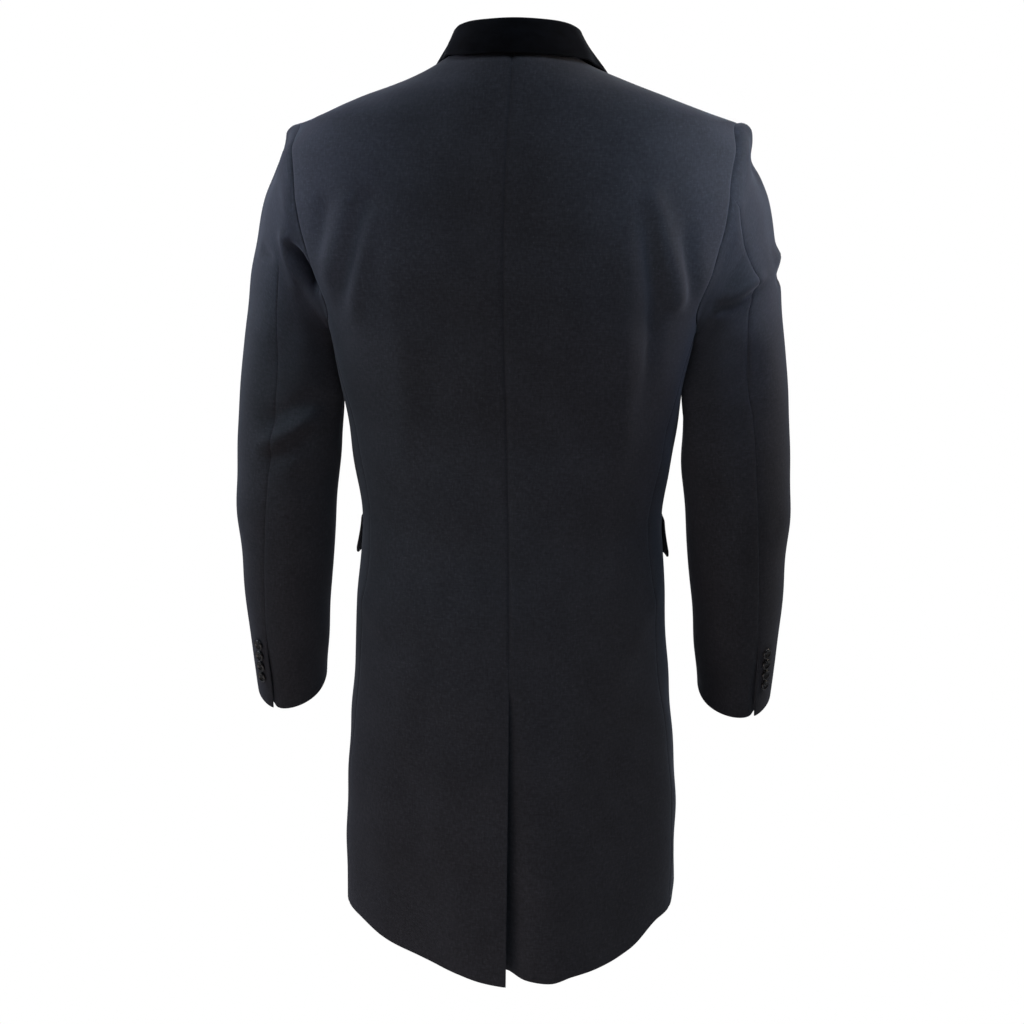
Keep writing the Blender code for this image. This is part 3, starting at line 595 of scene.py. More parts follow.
def soft_step(x):
    x = np.clip(x, 0, 1)
    return x * x * (3 - 2 * x)


def lengths(line):
    """How far along a line of points each one lies."""
    return np.concatenate(([0], np.cumsum(np.linalg.norm(np.diff(line, axis=0), axis=1))))


def across_cloth(width, pitch=PITCH):
    """Places across a piece of cloth as shares of its width, close together at both edges."""
    near = np.array(EDGE_STEPS)
    inside = width - 2 * near[-1]
    middle = np.linspace(near[-1], width - near[-1], round(inside / pitch) + 1)
    return np.concatenate((near[:-1], middle, width - near[-2::-1])) / width


def round_off(distance, wall):
    """How far a face falls back towards a rounded edge this far away."""
    left = 1 - np.clip(distance / EDGE_ROUND, 0, 1)
    return wall * EDGE_SHARE * (1 - np.sqrt(1 - left**2))


def rounded(wall, *distances):
    """How far a face falls back towards several rounded edges."""
    return sum(round_off(distance, wall) for distance in distances)


def groove(distance):
    return SEAM_DEPTH * np.exp(-((distance / SEAM_WIDTH) ** 2))


width_rounded = through(ROUNDED, "half_width")
width_below = through(WIDTHS, "half_width")
depth_back = through(RINGS, "back")
depth_front = through(RINGS, "front")
squareness = through(RINGS, "square")
hem_height = {LEFT: through(HEM, "left"), RIGHT: through(HEM, "right")}
side_seam = through(SIDE_SEAM, "behind")
sway = through(SWAY, "across")
centre_seam = through(CENTRE_SEAM, "across")
hind_degrees = {side: through(rows, "degrees") for side, rows in HIND_SEAM.items()}


def seam_width(z):
    """The body's half width at the side, which above the shoulder point is the shoulder seam's line."""
    tip = WIDTHS[-1].half_width
    along = np.clip((z - SHOULDER_Z) / (NECK_Z - SHOULDER_Z), 0, 1)
    slope = NECK_HALF + (tip - NECK_HALF) * (1 - along) ** SHOULDER_CURVE
    return np.where(z <= SHOULDER_Z, width_below(z), slope)


def half_width(z, turn):
    """The half width to use where the ring has turned this far from the side, from 0 to 1."""
    rounded = np.where(z < ROUND_FROM_Z, width_below(z), width_rounded(z))
    return seam_width(z) + (rounded - seam_width(z)) * soft_step(turn / ROUND_BY)


def body_form(theta, z):
    """Points of the body's plain form, and the way the cloth faces at each."""
    theta, z = np.broadcast_arrays(np.asarray(theta, float), np.asarray(z, float))
    n = squareness(z)
    cos, sin = np.cos(theta), np.sin(theta)
    turn = np.abs(sin)
    a = half_width(z, turn)
    b = np.where(sin >= 0, depth_back(z), depth_front(z))
    share_x = np.sign(cos) * np.abs(cos) ** (2 / n)
    share_y = np.sign(sin) * np.abs(sin) ** (2 / n)
    a_slope = steepness(lambda height: half_width(height, turn), z)
    b_slope = np.where(sin >= 0, steepness(depth_back, z), steepness(depth_front, z))
    facing_x = np.sign(share_x) * np.abs(share_x) ** (n - 1) / a
    facing_y = np.sign(share_y) * np.abs(share_y) ** (n - 1) / b
    facing_z = -(np.abs(share_x) ** n * a_slope / a + np.abs(share_y) ** n * b_slope / b)
    facing = unit(np.stack((facing_x, facing_y, facing_z), -1))
    return np.stack((a * share_x + sway(z), b * share_y, z), -1), facing


def fold_lines(folds, to_point):
    """Each fold's line in space, smooth through its places, with its width and depth."""
    lines = []
    for fold in folds:
        count = len(fold.places)
        at = np.linspace(0, count - 1, (count - 1) * FOLD_POINTS + 1)
        turn, along = (curve(range(count), values)(at) for values in zip(*fold.places))
        lines.append((to_point(np.radians(turn), along), fold.width, fold.depth))
    return lines


def fold_height(points, line, width):
    """How strongly a fold along a line shows at each point: 1 on the line, none beyond its ends."""
    flat = points.reshape(-1, 3)
    reach = width * FOLD_REACH
    close = np.all((flat > line.min(0) - reach) & (flat < line.max(0) + reach), axis=1)
    here = flat[close]
    nearest = np.full(len(here), np.inf)
    along = np.zeros(len(here))
    for k, (start, end) in enumerate(zip(line, line[1:])):
        run = end - start
        share = np.clip((here - start) @ run / (run @ run), 0, 1)
        away = np.linalg.norm(here - start - share[:, None] * run, axis=1)
        closer = away < nearest
        nearest = np.where(closer, away, nearest)
        along = np.where(closer, (k + share) / (len(line) - 1), along)
    ends = soft_step(along / FOLD_END) * soft_step((1 - along) / FOLD_END)
    height = np.zeros(len(flat))
    height[close] = np.exp(-((nearest / width) ** 2)) * ends
    return height.reshape(points.shape[:-1])


def fold_depth(points, lines):
    """How far the folds move each point out."""
    out = np.zeros(points.shape[:-1])
    for line, width, depth in lines:
        out += depth * fold_height(points, line, width)
    return out


def folds_and_waves(points, lines):
    """How far the folds and low waves move each point out."""
    out = fold_depth(points, lines)
    for wave in RIPPLES:
        turns = points @ np.array((wave.across, wave.deep, wave.up))
        out += wave.height * np.sin(2 * np.pi * turns + wave.phase)
    return out


BODY_LINES = fold_lines(BODY_FOLDS, lambda theta, z: body_form(theta, z)[0])


def body(theta, z, lift=0.0):
    """Points of the body cloth with its folds, moved out by lift."""
    plain, facing = body_form(theta, z)
    return plain + facing * (folds_and_waves(plain, BODY_LINES) + lift)[..., None]


def angle_at_depth(y, z):
    """The angle on the left half where the cloth is this far behind the side."""
    b = np.where(y >= 0, depth_back(z), depth_front(z))
    return np.arcsin(np.sign(y) * np.clip(np.abs(y) / b, 0, 1) ** (squareness(z) / 2))


def angle_at_width(x, z, half):
    """The angle at this distance across, on the back (half 1) or the front (half -1)."""
    share = np.sign(x) * np.clip(np.abs(x) / half_width(z, 1.0), 0, 1) ** (squareness(z) / 2)
    return half * np.arccos(share)


def on_side(theta, side):
    return theta if side == LEFT else np.pi - theta


def armhole_depth(z, half, clear):
    share = np.clip((z - ARMHOLE_MID) / (ARMHOLE_HALF + clear), -1, 1)
    reach = (ARMHOLE_BACK if half > 0 else ARMHOLE_FRONT) + clear
    set_back = ARMHOLE_SET_BACK * np.clip(-share, 0, 1) ** ARMHOLE_SET_POWER
    return half * reach * np.sqrt(1 - share**2) + set_back


def outer_depth(z, half):
    """How far behind the side a panel's outer edge lies: side seam, armhole, then shoulder seam."""
    hole = armhole_depth(z, half, 0.0)
    return np.where(z <= ARMHOLE_LOW, side_seam(z), np.where(z < ARMHOLE_HIGH, hole, 0.0))


def outer_shows(z):
    """How strongly a panel's outer seam shows: fully at the armhole and shoulder, less down the side."""
    return SIDE_SHOWS + (1 - SIDE_SHOWS) * soft_step(1 + (z - ARMHOLE_LOW) / SIDE_FADE)


def hem_change(theta, z, side):
    """How far a row at height z moves so that the lowest row follows the hem."""
    degrees = np.degrees(np.clip(theta, -np.pi / 2, np.pi / 2))
    hem = hem_height[side](degrees)
    return (hem - HEM_LEVEL) * np.clip((HEM_FADE_Z - z) / (HEM_FADE_Z - HEM_LEVEL), 0, 1)


def body_rows(top):
    """Heights of the rows of faces from the hem up, close together at the hem and round the armhole."""
    hem = HEM_LEVEL + np.array(EDGE_STEPS)
    skirt = np.linspace(hem[-1], ARMHOLE_LOW, round((ARMHOLE_LOW - hem[-1]) / PITCH) + 1)
    turn = np.linspace(0, np.pi, round(np.pi * ARMHOLE_HALF / PITCH * ARMHOLE_ROWS) + 1)
    hole = ARMHOLE_MID - ARMHOLE_HALF * np.cos(turn)
    count = round((top - ARMHOLE_HIGH) / PITCH * SHOULDER_ROWS) + 1
    shoulder = np.linspace(ARMHOLE_HIGH, top, count)
    return np.unique(np.concatenate((hem, skirt[1:-1], hole, shoulder[1:])))


def spread(start, end, z, shares):
    """Angles across each row, spaced along the plain form, and how far along each lies."""
    theta = start + (end - start) * np.linspace(0, 1, LINE_POINTS)
    line = body_form(theta, z)[0]
    run = np.linalg.norm(np.diff(line, axis=1), axis=2).cumsum(axis=1)
    run = np.concatenate((np.zeros((len(run), 1)), run), axis=1)
    angles = [np.interp(shares * r[-1], r, t) for r, t in zip(run, theta)]
    return np.array(angles), shares * run[:, -1:]


def add_object(name, bm, *made_of):
    for face in bm.faces:
        face.smooth = True
    mesh = bpy.data.meshes.new(name)
    bm.to_mesh(mesh)
    bm.free()
    for material in made_of:
        mesh.materials.append(material)
    made = bpy.data.objects.new(name, mesh)
    bpy.context.scene.collection.objects.link(made)
    return made


def cloth(name, face, inside, weave, made_of, wanted=None):
    """A sheet of cloth: a grid through rows of points on its face, extruded to the points inside."""
    rows, columns = face.shape[:2]
    bm = bmesh.new()
    bmesh.ops.create_grid(bm, x_segments=columns - 1, y_segments=rows - 1, size=1.0)
    row_of = bm.verts.layers.int.new("row")
    column_of = bm.verts.layers.int.new("column")
    weave_of = bm.verts.layers.float_vector.new("weave")
    for vert in bm.verts:
        vert[column_of] = round((vert.co.x + 1) / 2 * (columns - 1))
        vert[row_of] = round((vert.co.y + 1) / 2 * (rows - 1))
        vert.co = face[vert[row_of], vert[column_of]]
        vert[weave_of] = weave[vert[row_of], vert[column_of]]
    if wanted is not None:
        corners = {f: [(v[row_of], v[column_of]) for v in f.verts] for f in bm.faces}
        spare = [f for f, places in corners.items() if not wanted(*min(places))]
        bmesh.ops.delete(bm, geom=spare, context="FACES")
    made = bmesh.ops.extrude_face_region(bm, geom=bm.faces[:], use_keep_orig=True)["geom"]
    for vert in made:
        if isinstance(vert, bmesh.types.BMVert):
            vert.co = inside[vert[row_of], vert[column_of]]
    bmesh.ops.recalc_face_normals(bm, faces=bm.faces[:])
    return add_object(name, bm, made_of)


def weave_places(across, up, layer):
    """Where each point lies in the weave: metres across and up the cloth, and a layer for each piece."""
    across, up = np.broadcast_arrays(across, up)
    return np.stack((across, up, np.full(across.shape, float(layer))), -1)


def facing_of(points):
    return unit(np.cross(np.gradient(points, axis=0), np.gradient(points, axis=1)))


def two_faces(points, facing, out, edges, seams=0.0, wall=CLOTH):
    """A sheet's outer and inner points: this far out, rounded at the edges, with its seams sunk in."""
    outer = points + facing * (out - edges - seams)[..., None]
    inner = points + facing * (out + edges - wall)[..., None]
    return outer, inner


def vent_share(z):
    return np.clip((VENT_TOP - z) / (VENT_TOP - HEM_LEVEL), 0, 1)


def back_lift(x, z, side):
    """The left edge of the vent stands off; the right is set in under it."""
    if side == LEFT:
        return VENT_STAND * vent_share(z) * np.exp(-((x / VENT_SPREAD) ** 2))
    into = VENT_RECESS * soft_step((VENT_TOP - z) / VENT_RAMP) + VENT_DITCH * vent_share(z)
    return -into * np.exp(-((np.maximum(x, 0) / RECESS_SPREAD) ** 2))


def back_panel(name, side, made_of):
    """Half of the back, from the centre seam and vent to the side seam, armhole and shoulder."""
    rows = body_rows(NECK_Z)
    z = rows[:, None]
    stray = side * centre_seam(z)
    centre = angle_at_width(stray, z, 1)
    outer = angle_at_depth(outer_depth(z, 1), z)
    theta, run = spread(centre, outer, z, across_cloth(BACK_ACROSS))
    lap = 0
    if side == RIGHT:
        under = across_cloth(UNDERLAP)[:-1]
        lap = len(under)
        reach = -UNDERLAP * (1 - under) + 0 * z
        theta = np.concatenate((angle_at_width(reach + stray, z, 1), theta), axis=1)
        run = np.concatenate((reach, run), axis=1)
    to_outer = run[:, -1:] - run
    height = z + hem_change(theta, z, side)
    plain, facing = body_form(on_side(theta, side), height)
    out = folds_and_waves(plain, BODY_LINES) + back_lift(run, z, side)
    sewn = soft_step((z - VENT_TOP) / VENT_RAMP)
    edges = round_off(to_outer, CLOTH) * outer_shows(z) + round_off(z - HEM_LEVEL, CLOTH)
    if side == LEFT:
        edges = edges + round_off(run, CLOTH)
    else:
        edges = edges + round_off(np.abs(run), CLOTH) * sewn
        edges = edges + round_off(run + UNDERLAP, CLOTH) * (1 - sewn)
    seams = groove(to_outer) * outer_shows(z) + CENTRE_GROOVE * groove(np.abs(run)) * sewn
    faces = two_faces(plain, facing, out, edges, seams)
    weave = weave_places(run * side, height, WEAVE_LAYER["back"] * side)

    def wanted(row, across):
        return across >= lap or rows[row] < VENT_TOP - VENT_RAMP

    return cloth(name, *faces, weave, made_of, wanted if lap else None)


def overlap_lift(theta, z, side):
    """The left front rides over the right front and its lapel."""
    if side == RIGHT:
        return np.zeros(np.shape(theta))
    x = body_form(theta, z)[0][..., 0]
    ahead = np.where(np.sin(theta) < 0, 1.0, 0.0)
    across = soft_step((OVERLAP_NONE - x) / (OVERLAP_NONE - OVERLAP_FULL))
    below_neck = soft_step((GORGE_Z - z) / OVERLAP_FADE)
    return OVERLAP_LIFT * ahead * across * below_neck


def front_panel(name, side, made_of):
    """A front, from its free edge, roll line and neck to the side seam, armhole and shoulder."""
    rows = np.unique(np.concatenate((body_rows(FRONT_TOP_Z), (BREAK_Z, GORGE_Z))))
    z = rows[:, None]
    edge = np.interp(z, column(FRONT_EDGE, "z"), column(FRONT_EDGE, "across"))
    start = angle_at_width(edge, z, -1)
    outer = angle_at_depth(outer_depth(z, -1), z)
    theta, run = spread(start, outer, z, across_cloth(FRONT_ACROSS))
    to_outer = run[:, -1:] - run
    height = z + hem_change(theta, z, side)
    plain, facing = body_form(on_side(theta, side), height)
    out = folds_and_waves(plain, BODY_LINES) + overlap_lift(theta, height, side)
    edges = round_off(to_outer, CLOTH) * outer_shows(z) + rounded(CLOTH, run, z - HEM_LEVEL)
    faces = two_faces(plain, facing, out, edges, groove(to_outer) * outer_shows(z))
    weave = weave_places(-to_outer * side, height, WEAVE_LAYER["front"] * side)
    return cloth(name, *faces, weave, made_of)


def on_front(x, z, side, lift):
    """Points on a front's outer face, moved out by lift."""
    theta = angle_at_width(x, z, -1)
    return body(on_side(theta, side), z, lift + overlap_lift(theta, z, side))


def lapel(name, side, made_of):
    """A peak lapel: up out of the front at the roll line, over, and flat on the front to its edge."""
    along = across_cloth(LAPEL_LENGTH)[:, None]
    flat = across_cloth(LAPEL_WIDTH)[None, len(EDGE_STEPS) - 1:]
    roll = [LAPEL_BREAK[k] + (LAPEL_GORGE[k] - LAPEL_BREAK[k]) * along for k in (0, 1)]
    tip = (LAPEL_BREAK[0] + LAPEL_LEAST, LAPEL_BREAK[1])
    bend = ((1 - along) ** 2, 2 * along * (1 - along), along**2)
    outer = [tip[k] * bend[0] + LAPEL_BELLY[k] * bend[1] + LAPEL_PEAK[k] * bend[2] for k in (0, 1)]
    width = np.hypot(outer[0] - roll[0], outer[1] - roll[1])
    x = roll[0] + (outer[0] - roll[0]) * flat
    z = roll[1] + (outer[1] - roll[1]) * flat
    notch = np.clip(1 - np.abs(flat - LAPEL_NOTCH_SHARE) / LAPEL_NOTCH_SHARE, 0, 1)
    z = z - LAPEL_NOTCH_DIP * notch * along**LAPEL_NOTCH_POWER
    lies = CLOTH + LAPEL_GAP
    crown = LAY_GAP + 2 * ROLL_RISE
    lift = lies + (crown - lies) * (1 - soft_step(flat / ROLL_EASE)) + 0 * along
    turn = np.linspace(-np.pi / 2, np.pi / 2, ROLL_STEPS)[None, :-1]
    curl_x = roll[0] - ROLL_REACH * np.cos(turn)
    curl_z = roll[1] + 0 * turn
    curl_lift = LAY_GAP + ROLL_RISE * (1 + np.sin(turn)) + 0 * along
    x = np.concatenate((curl_x, x), axis=1)
    z = np.concatenate((curl_z, z), axis=1)
    lift = np.concatenate((curl_lift, lift), axis=1)
    across = np.concatenate((0 * curl_x, flat * width), axis=1)
    to_edge = np.concatenate((1 + 0 * curl_x, (1 - flat) * width), axis=1)
    edges = rounded(CLOTH, to_edge, (1 - along) * LAPEL_LENGTH, along * LAPEL_LENGTH)
    points = on_front(x, z, side, lift)
    faces = two_faces(points, facing_of(points) * side, 0.0, edges)
    weave = weave_places(across * side, z, WEAVE_LAYER["lapel"] * side)
    return cloth(name, *faces, weave, made_of)


def sleeve_table():
    outer = np.array([(s.outer_x, s.outer_z) for s in SLEEVE])
    run = lengths(outer)
    share = run / run[-1]
    return {name: curve(share, column(SLEEVE, name)) for name in Section._fields}, run[-1]


SLEEVE_LINES, SLEEVE_LENGTH = sleeve_table()


def sleeve_oval(phi, share, side):
    line = {name: value(share) for name, value in SLEEVE_LINES.items()}
    inner_x = line["inner_x"] + side * INNER_SWAY * soft_step((share - INNER_SWAY_FROM) / INNER_SWAY_FULL)
    cos, sin = np.cos(phi), np.sin(phi)
    x = (inner_x + line["outer_x"]) / 2 + (line["outer_x"] - inner_x) / 2 * cos
    z = (line["inner_z"] + line["outer_z"]) / 2 + (line["outer_z"] - line["inner_z"]) / 2 * cos
    flat = soft_step(share / FLAT_FULL) * soft_step((FLAT_GONE - share) / (FLAT_GONE - FLAT_FADES))
    flat = SLEEVE_FLAT * flat * np.where((sin > 0) & (cos > 0), 1.0, 0.0)
    y = line["mid_y"] + line["half_depth"] * sin * (1 - flat * (1 - sin))
    return np.stack((x, y, z - line["drop"] * sin), -1)


def armhole_edge(phi, side, clear=0.0, lift=0.0):
    """Points of the body this far clear of the armhole, by angle from the shoulder point round the back."""
    z = ARMHOLE_MID + (ARMHOLE_HALF + clear) * np.cos(phi)
    y = np.where(np.sin(phi) >= 0, armhole_depth(z, 1, clear), armhole_depth(z, -1, clear))
    return body(on_side(angle_at_depth(y, z), side), z, lift) * (side, 1, 1)


def armhole_line(side):
    """By angle, how far the armhole's edge on the body lies from the sleeve's first oval."""
    phi = np.linspace(-np.pi, np.pi, ARMHOLE_POINTS)
    return phi, armhole_edge(phi, side) - sleeve_oval(phi, np.zeros(len(phi)), side)


ARMHOLE_LINES = {side: armhole_line(side) for side in (LEFT, RIGHT)}


def sleeve_form(phi, share, side):
    """Points of a sleeve's plain form, on the left side."""
    phi, share = np.broadcast_arrays(np.asarray(phi, float), np.asarray(share, float))
    at, change = ARMHOLE_LINES[side]
    turned = (phi + np.pi) % (2 * np.pi) - np.pi
    fitted = np.stack([np.interp(turned, at, change[:, k]) for k in range(3)], -1)
    fit = np.clip(1 - share / SLEEVE_FIT, 0, 1) ** 2
    return sleeve_oval(phi, share, side) + fitted * fit[..., None]


def sleeve_facing(phi, share, side):
    further, nearer = np.minimum(share + ARM_STEP, 1), np.maximum(share - ARM_STEP, 0)
    round_arm = sleeve_form(phi + ARM_STEP, share, side) - sleeve_form(phi - ARM_STEP, share, side)
    down_arm = sleeve_form(phi, further, side) - sleeve_form(phi, nearer, side)
    return unit(np.cross(down_arm, round_arm))


def arm_lines(folds):
    return {side: fold_lines(folds[side], partial(sleeve_form, side=side)) for side in (LEFT, RIGHT)}


ARM_LINES = arm_lines(SLEEVE_FOLDS)
HOLLOW_LINES = arm_lines(SLEEVE_HOLLOWS)


def sleeve_out(plain, share, side):
    """How far the folds move a sleeve out; at the armhole, where it is sewn, only the hollows do."""
    folds = folds_and_waves(plain, ARM_LINES[side]) * soft_step(share / SLEEVE_SEWN)
    return folds + fold_depth(plain, HOLLOW_LINES[side])


def sleeve(phi, share, side, lift=0.0):
    """Points of a sleeve with its folds, by angle from its outer line round the back."""
    phi, share = np.broadcast_arrays(np.asarray(phi, float), np.asarray(share, float))
    plain = sleeve_form(phi, share, side)
    out = sleeve_out(plain, share, side) + lift
    return (plain + sleeve_facing(phi, share, side) * out[..., None]) * (side, 1, 1)


def hind_seam(share, side):
    return np.radians(hind_degrees[side](share))


def armhole_shows(phi):
    """The armhole's seam lies in a groove, less so over the shoulder."""
    return ARMHOLE_GROOVE * soft_step((np.abs(np.sin(phi / 2)) - ARMHOLE_FLAT) / ARMHOLE_FLAT)


def slit(share):
    """How far the cuff's slit has opened at this share of the sleeve, from 0 to 1."""
    return soft_step((share - SLIT_SHARE) / SLIT_FULL)


def sleeve_piece(name, side, part, made_of):
    """One of a sleeve's two pieces, between the lines of its seams."""
    down = across_cloth(SLEEVE_LENGTH)[:, None]
    share = down**SLEEVE_ROW_POWER
    fore = np.radians(FORE_SEAM)
    lap = slit(share) * SLIT_LAP / ARM_RADIUS
    if part == "top":
        start, end = fore - 2 * np.pi + 0 * share, hind_seam(share, side) + lap
    else:
        start, end = hind_seam(share, side) - lap, fore + 0 * share
    phi = start + (end - start) * across_cloth(SLEEVE_ACROSS[part])
    plain = sleeve_form(phi, share, side)
    to_fore, to_slit = (phi - start) * ARM_RADIUS, (end - phi) * ARM_RADIUS
    stand = SLIT_STAND
    if part == "under":
        to_fore, to_slit = to_slit, to_fore
        stand = -SLIT_RECESS
    from_top = share * SLEEVE_LENGTH
    out = sleeve_out(plain, share, side)
    out = out + stand * slit(share) * np.exp(-((to_slit / SLIT_SPREAD) ** 2))
    hind_shows = soft_step((share - HIND_SHOWS[side]) / HIND_FADE)
    edges = rounded(CLOTH, to_fore, from_top, SLEEVE_LENGTH - from_top)
    edges = edges + round_off(to_slit, CLOTH) * hind_shows
    seams = groove(to_fore) + groove(to_slit) * hind_shows * (1 - slit(share))
    seams = seams + groove(from_top) * armhole_shows(phi)
    faces = two_faces(plain, sleeve_facing(phi, share, side), out, edges, seams)
    tuck = np.array(TUCK)[:, None]
    under = fold_depth(plain[:1], HOLLOW_LINES[side]) - CLOTH - TUCK_UNDER
    tucked = [armhole_edge(phi[:1], side, tuck, lift) for lift in (under, under - CLOTH)]
    faces = [np.concatenate(rows) * (side, 1, 1) for rows in zip(tucked, faces)]
    phi = np.concatenate((np.repeat(phi[:1], len(TUCK), axis=0), phi))
    run = np.concatenate((tuck, -from_top))
    weave = weave_places(phi * ARM_RADIUS * side, run, WEAVE_LAYER["sleeve"] * side)
    return cloth(name, *faces, weave, made_of)


def collar_section(row, side):
    """Points across the collar: up the stand, over the fold and down the fall."""
    theta = angle_at_width(row.seam_x, row.seam_z, row.half)
    seam = body(theta, row.seam_z, -CLOTH)
    seam[2] = row.seam_z
    out = body(theta, row.seam_z, FACING_STEP) - body(theta, row.seam_z)
    out[2] = 0
    out /= np.linalg.norm(out)
    up = np.array((0, 0, 1.0))
    crest = seam + up * row.rise - out * row.lean
    crest = crest + np.array((side * COLLAR_ASIDE, 0, 0))
    centre = crest - up * FOLD_TURN + out * FOLD_TURN
    drawn_in = row.left_in if side == LEFT else 0.0
    edge_x, edge_z = row.edge_x - drawn_in, row.edge_z + drawn_in * EDGE_SLOPE
    edge = body(angle_at_width(edge_x, edge_z, row.half), edge_z, row.edge_lift)
    turns = np.radians(FOLD_DEGREES)
    fold = [centre + FOLD_TURN * (np.sin(turn) * up - np.cos(turn) * out) for turn in turns]
    stand = (seam + fold[0]) / 2
    middle = (fold[-1] + edge) / 2 + (out + up * BOW_UP) * row.bow
    upper = (fold[-1] + middle) / 2
    lower = (middle + edge) / 2 + out * row.bow * BOW_NEAR_EDGE
    return [seam, stand, *fold, upper, middle, lower, edge]


def smooth_through(points, at):
    """Points at these shares of the way along a smooth line through rows of points."""
    run = lengths(points[:, -1]) if points.ndim == 3 else lengths(points)
    flat = points.reshape(len(points), -1)
    made = np.stack([curve(run, flat[:, k])(at * run[-1]) for k in range(flat.shape[1])], -1)
    return made.reshape(len(at), *points.shape[1:])


def collar(name, made_of):
    """The collar, its sections smoothed along the neck and across from stand to edge."""
    left = np.array([collar_section(row, LEFT) for row in COLLAR])
    right = np.array([collar_section(row, RIGHT) for row in COLLAR]) * (-1, 1, 1)
    both = np.concatenate((right[:0:-1], left))
    along = across_cloth(COLLAR_LENGTH, COLLAR_PITCH)
    across = across_cloth(COLLAR_WIDTH, COLLAR_PITCH)
    rows = smooth_through(both, along)
    points = np.array([smooth_through(row, across) for row in rows])
    run = along[:, None] * COLLAR_LENGTH
    up = across[None, :] * COLLAR_WIDTH
    edges = rounded(COLLAR_CLOTH, run, COLLAR_LENGTH - run, up, COLLAR_WIDTH - up)
    faces = two_faces(points, facing_of(points), 0.0, edges, wall=COLLAR_CLOTH)
    return cloth(name, *faces, weave_places(run, up, WEAVE_LAYER["collar"]), made_of)


def flap(name, side, made_of):
    """A pocket flap lying on its front, with rounded corners, kicked out a little at the lower edge."""
    rear = angle_at_depth(FLAP_REAR_BEHIND, FLAP_TOP_Z)
    theta = np.linspace(rear, -np.pi / 2, LINE_POINTS)
    run = lengths(body_form(theta, FLAP_TOP_Z)[0])
    across = across_cloth(FLAP_LENGTH, FLAP_PITCH)[None, :] * FLAP_LENGTH
    down = across_cloth(FLAP_HEIGHT, FLAP_PITCH)[:, None]
    theta = np.interp(across, run, theta)
    from_end = np.minimum(across, FLAP_LENGTH - across)
    left = np.clip(FLAP_CORNER - from_end, 0, None)
    height = FLAP_HEIGHT - FLAP_CORNER + np.sqrt(FLAP_CORNER**2 - left**2)
    z = FLAP_TOP_Z - height * down
    theta = theta + 0 * z
    emerges = soft_step(down * FLAP_HEIGHT / FLAP_EMERGES)
    wall = FLAP_CLOTH * (FLAP_SEWN_WALL + (1 - FLAP_SEWN_WALL) * emerges)
    stand = FLAP_CLEAR + FLAP_GAP * emerges + FLAP_KICK * down**FLAP_KICK_POWER + wall
    plain, facing = body_form(on_side(theta, side), z)
    out = folds_and_waves(plain, BODY_LINES) + overlap_lift(theta, z, side) + stand
    edges = rounded(FLAP_CLOTH, across, FLAP_LENGTH - across, (1 - down) * FLAP_HEIGHT)
    faces = two_faces(plain, facing, out, edges, wall=wall)
    weave = weave_places(across * side, z, WEAVE_LAYER["flap"] * side)
    return cloth(name, *faces, weave, made_of)


def rod(bm, radius, length, place):
    return bmesh.ops.create_cone(
        bm,
        cap_ends=True,
        segments=HOLE_SIDES,
        radius1=radius,
        radius2=radius,
        depth=length,
        matrix=place,
    )["verts"]


def turned_button(radius, height):
    """A button's mesh about the origin: turned, with four holes and its thread as a second material."""
    bm = bmesh.new()
    verts = [bm.verts.new((p.radius * radius, 0, p.height * height)) for p in BUTTON_PROFILE]
    edges = [bm.edges.new(pair) for pair in zip(verts, verts[1:])]
    bmesh.ops.spin(
        bm,
        geom=verts + edges,
        cent=(0, 0, 0),
        axis=(0, 0, 1),
        angle=2 * np.pi,
        steps=BUTTON_SIDES,
        use_merge=True,
    )
    bmesh.ops.remove_doubles(bm, verts=bm.verts[:], dist=BUTTON_WELD)
    bmesh.ops.recalc_face_normals(bm, faces=bm.faces[:])
    disc = add_object("disc", bm)
    bm = bmesh.new()
    out = BUTTON_HOLE_OUT * radius
    for x, y in ((1, 1), (1, -1), (-1, 1), (-1, -1)):
        place = Matrix.Translation((x * out, y * out, 0))
        rod(bm, BUTTON_HOLE * radius, height * DRILL_LENGTH, place)
    drill = add_object("drill", bm)
    cut = disc.modifiers.new("holes", "BOOLEAN")
    cut.operation = "DIFFERENCE"
    cut.solver = "EXACT"
    cut.object = drill
    drilled = disc.evaluated_get(bpy.context.evaluated_depsgraph_get()).to_mesh()
    bm = bmesh.new()
    bm.from_mesh(drilled)
    for y in (1, -1):
        place = Matrix.Translation((0, y * out, height * THREAD_HEIGHT))
        strand = rod(bm, THREAD * radius, 2 * out, place @ Matrix.Rotation(np.pi / 2, 4, "Y"))
        for face in {f for vert in strand for f in vert.link_faces}:
            face.material_index = 1
    for spare in (disc, drill):
        bpy.data.objects.remove(spare, do_unlink=True)
    mesh = bpy.data.meshes.new("turned button")
    bm.to_mesh(mesh)
    bm.free()
    return mesh


def button(name, pattern, seat, facing, made_of):
    """A copy of a turned button on its seat."""
    bm = bmesh.new()
    bm.from_mesh(pattern)
    turn = Vector(facing).to_track_quat("Z", "Y").to_matrix().to_4x4()
    bmesh.ops.transform(bm, matrix=Matrix.Translation(seat) @ turn, verts=bm.verts[:])
    return add_object(name, bm, *made_of)


# Grain of each finish: waves to a metre each way, and how many finer steps they have
Grain = namedtuple("Grain", "waves detail")
WARP = Grain((620, 150, 40), 3)
WEFT = Grain((150, 620, 40), 3)
WEAR = Grain((26, 19, 10), 3)
HEATHER = Grain((330, 260, 40), 2)
FLECK = Grain((520, 380, 40), 1)
PILE = Grain((900, 900, 40), 2)
BRUSHED = Grain((60, 90, 10), 3)
BRUSHED_SHARE = 0.6
STREAK = Grain((160, 160, 480), 4)
TWIST = Grain((1500, 1500, 1500), 2)

